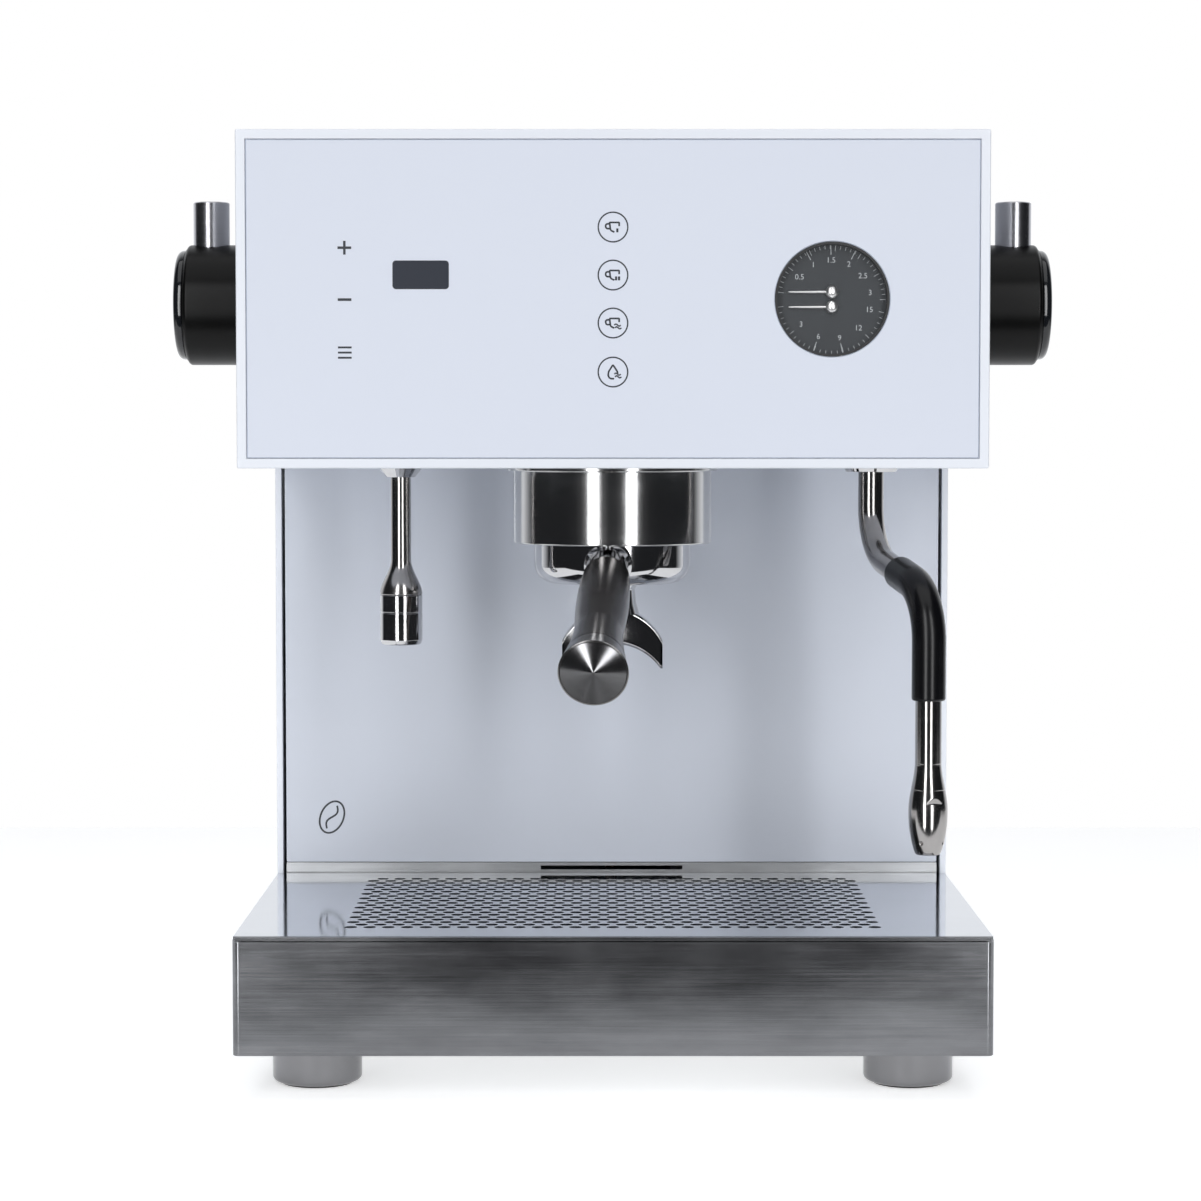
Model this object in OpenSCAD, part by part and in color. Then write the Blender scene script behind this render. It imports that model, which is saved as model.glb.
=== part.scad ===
// Espresso machine: two boilers, one group, steam wand and hot-water spout.
// X is left to right, Y is front to back, Z is up. The origin is on the
// surface that the feet stand on, in the middle of the whole machine.
// Depths below are measured from the front of the drip tray.

/* [Body] */
// Width of the casing
body_w = 330; // [290:1:400]
// Depth from the tray front to the rear panel
body_d = 430; // [400:1:520]
// Height from the surface to the top of the casing
body_h = 422; // [400:1:510]
// Height of the front box that carries the controls
box_h = 148; // [135:1:178]
// How far the front box stands behind the tray front
box_back = 31.5; // [10:0.5:40]
// Thickness of the C-shaped side panels
panel_t = 3; // [2:0.5:4]
// Thickness of the other steel sheet
sheet_t = 1.5; // [1:0.25:2]
// Gap at the seams between covers
seam = 0.6; // [0.3:0.1:1.2]
// Gap beside the backsplash
side_gap = 1.5; // [0.5:0.1:3]
// Thickness of the backsplash
splash_t = 3; // [2:0.5:5]

/* [Feet] */
// Diameter of a foot
foot_d = 40; // [30:1:50]
// Height of a foot with its pad
foot_h = 20; // [12:1:30]
// Centre of a foot in from the side
foot_side = 33; // [30:1:60]
// Centre of a foot in from the front and the back
foot_end = 45; // [35:1:90]
// Thickness of the rubber pad
pad_t = 2.5; // [1.5:0.1:5]
// How far the pad stands out of the foot
pad_out = 1; // [0.5:0.1:1.4]

/* [Base and drip tray] */
// Height of the tray front
base_h = 52; // [42:1:70]
// Depth of the bay that the tray slides into
bay_d = 200; // [180:1:236]
// Wall of the drip tray
tray_wall = 1.5; // [1:0.1:2.5]
// Gap around the drip tray
tray_gap = 8; // [5:0.5:12]
// Length of the sides that the tray front is folded into
front_fold = 26; // [15:1:40]
// Outer corner radius of the tray front
front_r = 3; // [2.2:0.1:6]
// Thickness of the drip plate
grille_t = 1.2; // [0.8:0.1:2]
// Hole in the drip plate
hole_d = 5.6; // [3:0.1:6.6]
// Pitch of the holes
hole_pitch = 8.25; // [7.8:0.05:14]
// Width of the perforated field
field_w = 238; // [150:1:270]
// Depth of the perforated field
field_d = 152; // [80:1:160]
// Front of the perforated field behind the tray front
field_front = 25; // [12:1:30]
// Height of the steel lip under the backsplash
lip_h = 5; // [4:0.5:12]
// Width of the drain slot in the lip
slot_w = 70; // [30:1:120]
// Height of the drain slot
slot_h = 2; // [1:0.1:3]

/* [Control panel] */
// Width of the frame around the glass
frame_border = 4.3; // [3:0.1:9]
// Depth of that frame
frame_depth = 14; // [10:0.5:20]
// Thickness of the glass panel
glass_t = 4; // [3:0.5:6]
// Gap between glass and frame
glass_gap = 0.4; // [0.2:0.1:1]
// Width of the board behind the glass
board_w = 146; // [120:1:160]
// Height of that board
board_h = 84; // [70:1:100]

/* [Gauge] */
// Diameter of the round opening for the gauge
gauge_d = 50.2; // [42:0.2:62]
// Centre of the gauge, right of the middle
gauge_x = 96; // [88:0.5:104]
// Depth of the gauge housing
gauge_deep = 28; // [20:1:40]
// Depth of the dial behind the glass front
dial_back = 5.5; // [4.8:0.1:8]
// Length of a needle
needle_l = 19.4; // [12:0.1:19.8]
// Distance of each needle pivot from the gauge centre
pivot_off = 3.3; // [3.2:0.1:4.5]
// Diameter of a pivot dome
dome_d = 5.6; // [4:0.1:6]

/* [Knobs] */
// Diameter of a knob hub
knob_d = 55; // [44:0.5:68]
// Length of a knob hub
knob_l = 29.5; // [24:0.5:40]
// Knob axis behind the tray front
knob_y = 107; // [100:1:116]
// Diameter of the outer cap
cap_d = 50; // [36:0.5:54]
// Height of the outer cap
cap_t = 5.3; // [4:0.1:8]
// Diameter of the peg on the hub
peg_d = 16.5; // [12:0.5:20]
// How far the peg stands above the hub
peg_up = 19.5; // [10:0.5:26]
// Peg axis out from the casing side
peg_out = 19.3; // [14:0.1:20]
// Diameter of a spindle
spindle_d = 8; // [6:0.5:12]
// Diameter of a valve body
valve_d = 26; // [20:1:32]

/* [Group] */
// Group axis behind the tray front
group_y = 108; // [100:1:116]
// Outer diameter of the group cover
cover_d = 91.4; // [90.8:0.2:110]
// How far the cover hangs below the box
cover_drop = 35.5; // [33:0.5:44]
// Diameter of the flange under the box
flange_d = 97; // [96:0.5:120]
// Thickness of the gasket
gasket_t = 7.5; // [6:0.5:9]

/* [Portafilter] */
// Outer diameter of the bowl
bowl_d = 72; // [66:0.5:75]
// How far the bowl hangs below the group cover
bowl_drop = 18.5; // [16:0.5:26]
// Wall of the bowl
bowl_wall = 3.5; // [2.5:0.1:3.8]
// Diameter of the filter basket
basket_d = 58; // [50:0.5:58]
// Angle of one bayonet ear
ear_angle = 40; // [30:1:42]
// Turn that unlocks the portafilter
unlock_turn = 45; // [45:1:60]
// Slope of the handle below level
handle_slope = 19.7; // [19:0.1:26]
// Turn of the handle to the left at rest
handle_yaw = 3.3; // [0:0.1:5]
// Length of neck and handle from the bowl
handle_l = 119; // [110:1:150]
// Length of the bare neck
neck_l = 14; // [10:1:22]
// Diameter of the neck
neck_d = 18.4; // [16:0.2:19]
// Diameter of the handle's end
handle_end_d = 30; // [26:0.5:36]
// Length of the end cap
end_cap_l = 12; // [8:1:18]
// Half width of the twin spout
spout_half = 23.2; // [20:0.2:25]
// Width of the spout channel from front to back
spout_w = 15; // [12:0.5:18]

/* [Steam wand] */
// Wand pivot, right of the middle
wand_x = 118.9; // [112:0.1:128]
// Depth of both outlets behind the tray front
outlet_y = 100; // [96:1:112]
// Diameter of the wand tube
wand_d = 11.7; // [9:0.1:12.5]
// Wall of both outlet tubes
outlet_wall = 1.2; // [0.8:0.1:2]
// Reach of the S-bend
wand_reach = 72.8; // [62:0.2:78]
// Direction of the S-bend, to the right of straight ahead
wand_turn = 15.9; // [0:0.1:30]
// Angle of each bend
wand_bend = 78; // [60:1:84]
// Radius of each bend
wand_r = 26; // [20:0.5:30]
// Straight drop above the S-bend, from the ball
wand_drop = 25; // [20:0.5:32]
// Height of the grip's lower end
grip_low = 172; // [165:1:185]
// Diameter of the grip
grip_d = 15; // [14:0.1:18]
// Height of the tip's lower end
tip_low = 104; // [90:1:125]
// Length of the tip
tip_l = 41; // [30:1:42]
// Largest diameter of the tip
tip_d = 17.3; // [15:0.1:20]

/* [Hot-water spout] */
// Spout pivot, left of the middle
spout_x = 97.3; // [92:0.1:110]
// Diameter of the spout tube
tube_d = 9.2; // [7:0.1:9.6]
// Height of the spout's lower end
outlet_low = 192; // [180:1:205]
// Height of the barrel-shaped outlet
outlet_l = 23; // [15:1:26]
// Height of the flare above the barrel
flare_l = 16; // [10:1:22]
// Diameter of the outlet
outlet_d = 19.6; // [16:0.1:24]

/* [Water tank] */
// Width of the tank
tank_w = 224; // [180:1:240]
// Depth of the tank
tank_d = 77; // [60:1:79]
// Height of the tank
tank_h = 207; // [160:1:210]
// Wall of the tank
tank_wall = 2.5; // [2:0.1:4]
// Thickness of the lid
lid_t = 2; // [1.5:0.1:3]
// Diameter of the lid's hinge barrel
barrel_d = 6; // [5.4:0.1:7]

/* [Inside] */
// Diameter of the coffee boiler
coffee_d = 84; // [70:1:100]
// Diameter of the steam boiler
steam_d = 110; // [90:1:116]
// Length of the steam boiler
steam_l = 210; // [150:1:240]
// Diameter of the pump
pump_d = 46; // [36:1:50]
// Diameter of the pipes
pipe_d = 6; // [4:0.5:8]
// Side of a square post of the inner frame
post_w = 12; // [10:1:15]
// Height of the deck above the base
deck_up = 184; // [170:1:200]
// Radial clearance of a turning shaft
run_gap = 0.06; // [0.03:0.01:0.1]
// Clearance of a ball in its seat
ball_gap = 0.3; // [0.2:0.05:0.4]

/* [Hidden] */
$fn = 64;

eps = 0.01;
half_w = body_w / 2;
inside_w = body_w - 2 * panel_t - 0.2;   // between the side panels
base_low = foot_h;
base_top = foot_h + base_h;              // top of the drip plate
box_low = body_h - box_h;
floor_top = base_low + sheet_t;          // top of the base pan's floor
axis_z = box_low + box_h / 2;            // knobs and gauge
rim_t = 1.2;                             // rim of the cup tray
cover_top = body_h - rim_t;              // top of the top cover
rear_in = body_d - sheet_t;              // inner face of the rear panel
box_in = box_back + frame_depth + seam;  // front edge of the box's covers

// Handle: from the bowl wall to the end, in the handle's own direction
neck_z = box_low - cover_drop - 8.8;     // height where the neck meets the bowl
handle_out = (bowl_d / 2 + handle_l * cos(handle_slope)) * cos(handle_yaw);
overhang = handle_out + handle_end_d / 2 * sin(handle_slope) - group_y;
centre_y = (body_d - max(overhang, 0)) / 2;

function lerp(a, b, t) = a + (b - a) * t;
function smooth(t) = t * t * (3 - 2 * t);
function clamp01(t) = max(0, min(1, t));

// ---- shared shapes ----

module rounded_rect(w, h, r) {
    square([w - 2 * r, h], center = true);
    square([w, h - 2 * r], center = true);
    for (x = [-1, 1], y = [-1, 1])
        translate([x * (w / 2 - r), y * (h / 2 - r)]) circle(r);
}

// A block from its lowest to its highest corner
module block(low, high) {
    translate(low) cube(high - low);
}

// A plate in the XZ plane, its front at depth y
module upright(y, t) {
    translate([0, y + t, 0]) rotate([90, 0, 0]) linear_extrude(t) children();
}

// A cylinder along X from x1 to x2
module rod_x(x1, x2, r) {
    translate([min(x1, x2), 0, 0]) rotate([0, 90, 0]) cylinder(h = abs(x2 - x1), r = r);
}

// Straight runs with round elbows through a list of points
module pipe_run(points, d) {
    for (i = [0 : len(points) - 2]) {
        run = points[i + 1] - points[i];
        l = norm(run);
        translate(points[i])
            rotate([0, acos(run[2] / l), atan2(run[1], run[0])])
                cylinder(h = l, d = d, $fn = 24);
    }
    for (i = [1 : len(points) - 2]) translate(points[i]) sphere(d = d + 0.2, $fn = 24);
}

// ---- casing ----

module side_panel(side) {
    color("white")
    difference() {
        translate([side > 0 ? half_w - panel_t : -half_w, 0, 0])
            rotate([90, 0, 90]) linear_extrude(panel_t) polygon([
                [front_fold + seam, base_low], [body_d, base_low], [body_d, body_h],
                [box_in, body_h], [box_in, box_low],
                [bay_d - 1, box_low], [bay_d - 1, base_top - grille_t - 0.2],
                [front_fold + seam, base_top - grille_t - 0.2]
            ]);
        translate([0, knob_y, axis_z])
            rod_x(side * (half_w - panel_t - 1), side * (half_w + 1), spindle_d / 2 + 0.6);
    }
}

module side_panel_left() { side_panel(-1); }
module side_panel_right() { side_panel(1); }

module base_pan() {
    w = inside_w / 2;
    color("silver") {
        block([-w, sheet_t + seam, base_low], [w, rear_in - 0.1, floor_top]);
        for (side = [-1, 1])
            block([side > 0 ? w - sheet_t : -w, front_fold + seam, floor_top],
                  [side > 0 ? w : sheet_t - w, rear_in - 0.1, base_top - 14]);
        difference() {
            block([-splash_w / 2, bay_d, floor_top], [splash_w / 2, bay_d + sheet_t, base_top + lip_h]);
            translate([-slot_w / 2, bay_d - 1, base_top + lip_h / 2 - slot_h / 2])
                cube([slot_w, sheet_t + 2, slot_h]);
        }
    }
}

splash_w = body_w - 2 * (panel_t + side_gap);

module backsplash() {
    color("white")
    block([-splash_w / 2, bay_d + 0.2, base_top + lip_h + 0.2],
          [splash_w / 2, bay_d + 0.2 + splash_t, box_low - 0.2]);
}

module rear_panel() {
    louvre_w = 110;
    color("white")
    difference() {
        block([-inside_w / 2, rear_in, floor_top], [inside_w / 2, body_d, cover_top - sheet_t - 0.2]);
        for (column = [-1, 1], row = [0 : 11])
            translate([column * 75 - louvre_w / 2, rear_in - 1, floor_top + deck_up + 35 + row * 11])
                cube([louvre_w, sheet_t + 2, 4]);
        translate([inlet_x - inlet_w / 2 - 0.2, rear_in - 1, inlet_z - inlet_h / 2 - 0.2])
            cube([inlet_w + 0.4, sheet_t + 2, inlet_h + 0.4]);
        rear_screws() rotate([-90, 0, 0]) translate([0, 0, -1]) cylinder(h = sheet_t + 2, d = screw_head_d + 0.4);
    }
}

// Where the tank passes through the top
tank_back = rear_in - barrel_d / 2 - 1.2;       // hinge axis of the lid
tank_rear = tank_back - barrel_d / 2 - 0.2;     // rear wall of the tank
tank_front = tank_rear - tank_d;
tank_top = body_h - lid_t - 0.2;
lid_gap = 1;

module top_cover() {
    color("white")
    difference() {
        block([-inside_w / 2, box_in, cover_top - sheet_t], [inside_w / 2, rear_in, cover_top]);
        translate([-tank_w / 2 - lid_gap, tank_front - lid_gap, cover_top - sheet_t - 1])
            cube([tank_w + 2 * lid_gap, rear_in - tank_front + 2 * lid_gap, sheet_t + 2]);
        block([-cup_w / 2 - 0.5, cup_front - 0.5, cover_top - sheet_t - 1],
              [cup_w / 2 + 0.5, cup_back + 0.5, cover_top + 1]);
    }
}

cup_w = body_w - 60;
cup_front = box_in + 16;
cup_back = tank_front - 14;
cup_deep = 8;

module cup_tray() {
    slots = floor((cup_back - cup_front - 24) / 12);
    w = cup_w / 2;
    color("silver")
    difference() {
        union() {
            block([-w - 4, cup_front - 4, cover_top], [w + 4, cup_back + 4, body_h]);
            block([-w, cup_front, body_h - cup_deep - rim_t], [w, cup_back, cover_top + eps]);
        }
        block([rim_t - w, cup_front + rim_t, body_h - cup_deep],
              [w - rim_t, cup_back - rim_t, body_h + 1]);
        for (row = [0 : slots], column = [-1 : 1])
            translate([column * (cup_w / 3 - 2), cup_front + 12 + row * 12, body_h - cup_deep - rim_t - 1])
                linear_extrude(4) rounded_rect(cup_w / 3 - 16, 5, 2.4);
    }
}

module front_frame() {
    h = box_h / 2;
    b = frame_border;
    color("white")
    translate([0, 0, axis_z])
        upright(box_back, frame_depth) difference() {
            rounded_rect(body_w, 2 * h, 0.8);
            square([body_w - 2 * b, 2 * (h - b)], center = true);
        }
}

module front_glass() {
    b = frame_border + glass_gap;
    color("aliceblue")
    translate([0, 0, axis_z])
        upright(box_back + 0.4, glass_t) difference() {
            rounded_rect(body_w - 2 * b, box_h - 2 * b, 0.6);
            translate([gauge_x, 0]) circle(d = gauge_d);
        }
}

module box_floor() {
    color("white")
    difference() {
        block([-inside_w / 2, box_in, box_low], [inside_w / 2, bay_d, box_low + sheet_t]);
        translate([0, group_y, box_low - 1]) cylinder(h = sheet_t + 2, d = head_d + 1);
        translate([wand_x, outlet_y, box_low - 1])
            cylinder(h = sheet_t + 2, r = nut_r(steam_ball) + 0.4);
        translate([-spout_x, outlet_y, box_low - 1])
            cylinder(h = sheet_t + 2, r = nut_r(water_ball) + 0.4);
    }
}

module inner_frame() {
    x = inside_w / 2 - sheet_t - 0.4;
    front = bay_d + splash_t + 3;
    back = rear_in - 0.1;
    low = floor_top;
    color("gray") {
        for (side = [-1, 1], y = [front, back - post_w])
            difference() {
                block([side > 0 ? x - post_w : -x, y, low],
                      [side > 0 ? x : post_w - x, y + post_w, cover_top - sheet_t - 0.1]);
                rear_screws() rotate([90, 0, 0]) cylinder(h = screw_l, d = screw_d);
            }
        difference() {
            block([-x, front, low + deck_up - sheet_t], [x, back, low + deck_up]);
            translate([0, pipe_back, low + deck_up - sheet_t - 1]) cylinder(h = sheet_t + 2, d = pipe_d + 6);
        }
    }
}

// ---- feet ----

module each_foot() {
    for (x = [-1, 1], y = [foot_end, body_d - foot_end])
        translate([x * (half_w - foot_side), y, 0]) children();
}

module feet() {
    r = foot_d / 2;
    edge = 2;
    color("silver")
    each_foot() rotate_extrude() difference() {
        union() {
            translate([0, pad_out]) square([r - edge, foot_h - pad_out]);
            translate([0, pad_out + edge]) square([r, foot_h - pad_out - edge]);
            translate([r - edge, pad_out + edge]) circle(edge);
        }
        translate([-1, -1]) square([r - 4 + 1, pad_t + 1]);
    }
}

module foot_pads() {
    color("black")
    each_foot() cylinder(h = pad_t, d = foot_d - 8);
}

// ---- base and drip tray ----

module tray_front() {
    color("silver")
    difference() {
        translate([0, front_fold / 2 + front_r, base_low])
            linear_extrude(base_h) rounded_rect(body_w, front_fold + 2 * front_r, front_r);
        translate([0, front_fold / 2 + front_r, base_low - 1])
            linear_extrude(base_h + 2)
                rounded_rect(body_w - 2 * sheet_t, front_fold + 2 * front_r - 2 * sheet_t, front_r - sheet_t);
        block([-body_w, front_fold, 0], [body_w, front_fold + 50, base_top + 1]);
        block([-body_w, sheet_t, base_top - grille_t - 0.2], [body_w, front_fold + 50, base_top + 1]);
    }
}

tray_w = inside_w - 2 * sheet_t - 2 * tray_gap;
tray_back = bay_d - tray_gap;

module drip_tray() {
    low = floor_top + 0.5;
    top = base_top - grille_t - 0.1;
    w = tray_w / 2;
    color("silver")
    difference() {
        block([-w, sheet_t, low], [w, tray_back, top]);
        block([tray_wall - w, sheet_t + tray_wall, low + tray_wall],
              [w - tray_wall, tray_back - tray_wall, top + 1]);
    }
}

module drip_grille() {
    rows = floor(field_d / (hole_pitch * sin(60)));
    columns = floor(field_w / hole_pitch);
    front = sheet_t + 0.7;
    color("lightsteelblue")
    translate([0, 0, base_top - grille_t])
        linear_extrude(grille_t) difference() {
            translate([-half_w + 0.4, front]) square([body_w - 0.8, bay_d - 1.6 - front]);
            for (row = [0 : rows], column = [0 : columns - row % 2])
                translate([(column - (columns - row % 2) / 2) * hole_pitch,
                           field_front + hole_d / 2 + row * hole_pitch * sin(60)])
                    circle(d = hole_d, $fn = 24);
        }
}

// ---- control panel ----

module display_board() {
    back = box_back + 0.4 + glass_t + 0.1;
    color("darkgreen") {
        translate([-gauge_x + 30, 0, axis_z]) upright(back + 1, 1.6)
            rounded_rect(board_w, board_h, 3);
        translate([-84, 0, axis_z + 10.5]) upright(back, 1) rounded_rect(34, 20, 2);
    }
}

gauge_r = gauge_d / 2 - 0.2;
gauge_wall = 0.8;
glass_front = box_back + 0.4;

module at_gauge(y) {
    translate([gauge_x, y, axis_z]) rotate([-90, 0, 0]) children();
}

module gauge_housing() {
    color("black")
    difference() {
        at_gauge(glass_front) cylinder(h = gauge_deep, r = gauge_r);
        at_gauge(glass_front - 1) cylinder(h = gauge_deep - 1, r = gauge_r - gauge_wall);
    }
}

module gauge_dial() {
    color("dimgray")
    difference() {
        at_gauge(glass_front + dial_back) cylinder(h = 0.8, r = gauge_r - gauge_wall);
        for (side = [-1, 1]) translate([0, 0, side * pivot_off])
            at_gauge(glass_front + dial_back - 1) cylinder(h = 3, r = 0.8 + run_gap, $fn = 24);
    }
}

module gauge_lens() {
    color("lightblue")
    at_gauge(glass_front + 0.3) cylinder(h = 1.2, r = gauge_r - gauge_wall);
}

// A needle points left at rest and has a domed pivot on a thin shaft
module needle(up) {
    pivot = axis_z + up * pivot_off;
    plane = glass_front + dial_back - 1.4;
    color("silver")
    translate([gauge_x, plane, pivot]) {
        translate([-needle_l, 0, -0.35]) cube([needle_l, 0.4, 0.7]);
        rotate([90, 0, 0]) intersection() {
            translate([0, 0, -dome_d]) sphere(r = dome_d * 1.1, $fn = 48);
            translate([0, 0, -0.6]) cylinder(h = dome_d, d = dome_d, $fn = 48);
        }
        rotate([-90, 0, 0]) cylinder(h = 4, r = 0.8, $fn = 24);
    }
}

module needle_upper() { needle(1); }
module needle_lower() { needle(-1); }

// ---- knobs and valves ----

knob_gap = 0.8;
hub_in = half_w + knob_gap;
hub_out = hub_in + knob_l;
peg_deep = 8;
spindle_in = 24;                 // spindle inside the valve
valve_l = 42;

// Draws the right-hand side, or its mirror on the left
module knob_side(side) {
    translate([0, knob_y, axis_z]) if (side > 0) children(); else mirror([1, 0, 0]) children();
}

module knob_hub(side) {
    edge = 1.6;
    r = knob_d / 2;
    color("black")
    knob_side(side) difference() {
        translate([hub_in, 0, 0]) rotate([0, 90, 0]) rotate_extrude() {
            square([r, knob_l - edge]);
            square([r - edge, knob_l]);
            translate([r - edge, knob_l - edge]) circle(edge);
        }
        rod_x(hub_in - 1, hub_out - 6, spindle_d / 2);
        translate([half_w + peg_out, 0, knob_d / 2 - peg_deep]) cylinder(h = peg_deep + 5, d = peg_d);
    }
}

// Low dome: a disc whose outer edge is a quarter round
module knob_cap(side) {
    edge = cap_t - 1;
    r = cap_d / 2;
    color("dimgray")
    knob_side(side) translate([hub_out, 0, 0]) rotate([0, 90, 0]) rotate_extrude() difference() {
        union() {
            square([r, cap_t - edge]);
            square([r - edge, cap_t]);
            translate([r - edge, cap_t - edge]) circle(edge);
        }
        translate([-1, -edge - 1]) square([r + 2, edge + 1]);
    }
}

module knob_peg(side) {
    low = knob_d / 2 - peg_deep;
    color("silver")
    knob_side(side) translate([half_w + peg_out, 0, low]) {
        cylinder(h = peg_deep + peg_up - 0.6, d = peg_d);
        translate([0, 0, peg_deep + peg_up - 0.6]) cylinder(h = 0.6, d1 = peg_d, d2 = peg_d - 1.2);
    }
}

module spindle(side, valve_x) {
    color("goldenrod")
    knob_side(side) rod_x(valve_x + valve_l - spindle_in - 12, hub_out - 6, spindle_d / 2);
}

// Ball joint of an outlet: [tube radius, ball radius, tilt, nut below the box, taper of the nut]
steam_ball = [wand_d / 2, wand_d / 2 + 2.8, 10, 2.5, 1];
water_ball = [tube_d / 2, tube_d / 2 + 2, 5, 5, 4];
seat_wall = 1.8;
nut_wall = 1.8;
function seat_r(ball) = ball[1] + ball_gap + seat_wall;
function nut_r(ball) = seat_r(ball) + run_gap + nut_wall;
function nut_low(ball) = box_low - ball[3];
function lip_top(ball) = nut_low(ball) + 0.84 * ball[3];
function ball_z(ball) = lip_top(ball) + 0.1 + 0.8 * ball[1];
function seat_top(ball) = ball_z(ball) + ball[1] + 2.5;
// Opening that lets the tube tilt at a distance below the ball's centre
function opening_r(ball, below) = ball[0] / cos(ball[2]) + below * tan(ball[2]) + 0.25;

module valve(x, ball) {
    low = nut_low(ball);
    lip = lip_top(ball);
    top = seat_top(ball) + 0.1;
    open = opening_r(ball, ball_z(ball) - low);
    inner = valve_in(x);
    outer = inner + valve_l;
    color("goldenrod")
    difference() {
        union() {
            translate([0, knob_y, axis_z]) rod_x(sign(x) * inner, sign(x) * outer, valve_d / 2);
            translate([x, outlet_y, top]) cylinder(h = axis_z - top, d = 16);
            translate([x, outlet_y, box_low]) cylinder(h = top + 4 - box_low, r = nut_r(ball));
            translate([x, outlet_y, low])
                cylinder(h = ball[3], r1 = max(nut_r(ball) - ball[4], open + 0.8), r2 = nut_r(ball));
        }
        translate([x, outlet_y, lip]) cylinder(h = top - lip, r = seat_r(ball) + run_gap);
        translate([x, outlet_y, low - 1]) cylinder(h = lip - low + 2, r = open);
        translate([x, outlet_y, top - 1]) cylinder(h = axis_z - top, d = 5);
        translate([0, knob_y, axis_z])
            rod_x(sign(x) * (outer - spindle_in - 14), sign(x) * (outer + 1), spindle_d / 2 + run_gap);
    }
}

function valve_in(x) = abs(x) - 16;

module ball_seat(x, ball) {
    low = lip_top(ball) + 0.1;
    color("ivory")
    translate([x, outlet_y, 0]) difference() {
        translate([0, 0, low]) cylinder(h = seat_top(ball) - low, r = seat_r(ball));
        translate([0, 0, ball_z(ball)]) sphere(r = ball[1] + ball_gap);
        translate([0, 0, low - 1])
            cylinder(h = ball_z(ball) - low, r = opening_r(ball, ball_z(ball) - low));
        translate([0, 0, ball_z(ball)]) cylinder(h = 40, r = ball[0] - outlet_wall);
    }
}

module steam_knob() { knob_hub(1); }
module steam_knob_cap() { knob_cap(1); }
module steam_knob_peg() { knob_peg(1); }
module steam_spindle() { spindle(1, valve_in(wand_x)); }
module steam_valve() { valve(wand_x, steam_ball); }
module steam_ball_seat() { ball_seat(wand_x, steam_ball); }
module water_knob() { knob_hub(-1); }
module water_knob_cap() { knob_cap(-1); }
module water_knob_peg() { knob_peg(-1); }
module water_spindle() { spindle(-1, valve_in(spout_x)); }
module water_valve() { valve(-spout_x, water_ball); }
module water_ball_seat() { ball_seat(-spout_x, water_ball); }

// ---- group ----

bowl_r = bowl_d / 2;
cover_low = box_low - cover_drop;
ear_r = bowl_r + 4.3;
ear_t = 5;
head_d = cover_d - 4.2;
ledge_low = cover_low + 2;
ledge_top = ledge_low + 5.5;
gasket_low = ledge_top + 9;
gasket_top = gasket_low + gasket_t;
screen_t = 1;
water_bore = 3;
head_top = box_low + 26;

module at_group(z) {
    translate([0, group_y, z]) children();
}

module group_head() {
    color("goldenrod")
    at_group(0) difference() {
        translate([0, 0, ledge_low]) cylinder(h = head_top - ledge_low, d = head_d);
        translate([0, 0, ledge_low - 1]) cylinder(h = gasket_top - ledge_low + 1, r = bowl_r + 0.6);
        translate([0, 0, ledge_top]) cylinder(h = gasket_low - ledge_top, r = ear_r + 0.3);
        for (turn = [0, 180])
            rotate([0, 0, turn - unlock_turn - ear_angle / 2 - 2.5 - handle_yaw])
                translate([0, 0, ledge_low - 1])
                    rotate_extrude(angle = ear_angle + 5) square([ear_r + 0.25, ledge_top - ledge_low + 1.5]);
        cylinder(h = head_top + 1, d = water_bore);
    }
}

module group_cover() {
    color("silver")
    at_group(0) difference() {
        union() {
            translate([0, 0, cover_low]) cylinder(h = cover_drop, d = cover_d, $fn = 96);
            translate([0, 0, box_low - 2]) cylinder(h = 2 - 0.1, d = flange_d, $fn = 96);
        }
        translate([0, 0, cover_low - 1]) cylinder(h = cover_drop + 2, d = head_d + 0.6);
    }
}

module group_gasket() {
    color("black")
    at_group(gasket_low) difference() {
        cylinder(h = gasket_t, r = bowl_r + 0.5);
        translate([0, 0, -1]) cylinder(h = gasket_t + 2, r = basket_d / 2 + 0.6);
    }
}

module shower_screen() {
    color("silver")
    at_group(gasket_top - 3) difference() {
        union() {
            cylinder(h = screen_t, d = basket_d + 0.6);
            difference() {
                cylinder(h = 3, d = basket_d + 0.6);
                translate([0, 0, -1]) cylinder(h = 6, d = basket_d - 1.4);
            }
        }
        for (ring = [1 : 4], i = [0 : ring * 6 - 1])
            rotate([0, 0, i * 60 / ring]) translate([2 + ring * 5.4, 0, -1]) cylinder(h = 4, d = 2, $fn = 16);
        translate([0, 0, -1]) cylinder(h = 6, d = screw_d + 0.4);
    }
}

// ---- screws ----

screw_d = 4;
screw_head_d = 7.6;
screw_l = 12;

// Places a screw on each rear corner post, pointing forwards
module rear_screws() {
    x = inside_w / 2 - sheet_t - 0.4 - post_w / 2;
    for (side = [-1, 1], level = [0.12, 0.5, 0.88])
        translate([side * x, rear_in, lerp(base_low, cover_top, level)]) children();
}

module screws() {
    color("silver") {
        rear_screws() {
            rotate([90, 0, 0]) cylinder(h = screw_l - 0.5, d = screw_d);
            rotate([-90, 0, 0]) cylinder(h = sheet_t, d = screw_head_d);
        }
        at_group(gasket_top - 3 - 1.5) {
            cylinder(h = 1.5, d = screw_head_d);
            cylinder(h = 4.5 - 0.1, d = screw_d);
        }
    }
}

// ---- portafilter ----

bowl_low = cover_low - bowl_drop;
bowl_top = gasket_low - 1.3;
bowl_edge = 9;

// Turns into the handle's own direction: +Z runs out along the handle
module along_handle(s) {
    at_group(neck_z) rotate([0, 0, -handle_yaw]) translate([0, -bowl_r, 0])
        rotate([90 + handle_slope, 0, 0]) translate([0, 0, s]) children();
}

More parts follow.
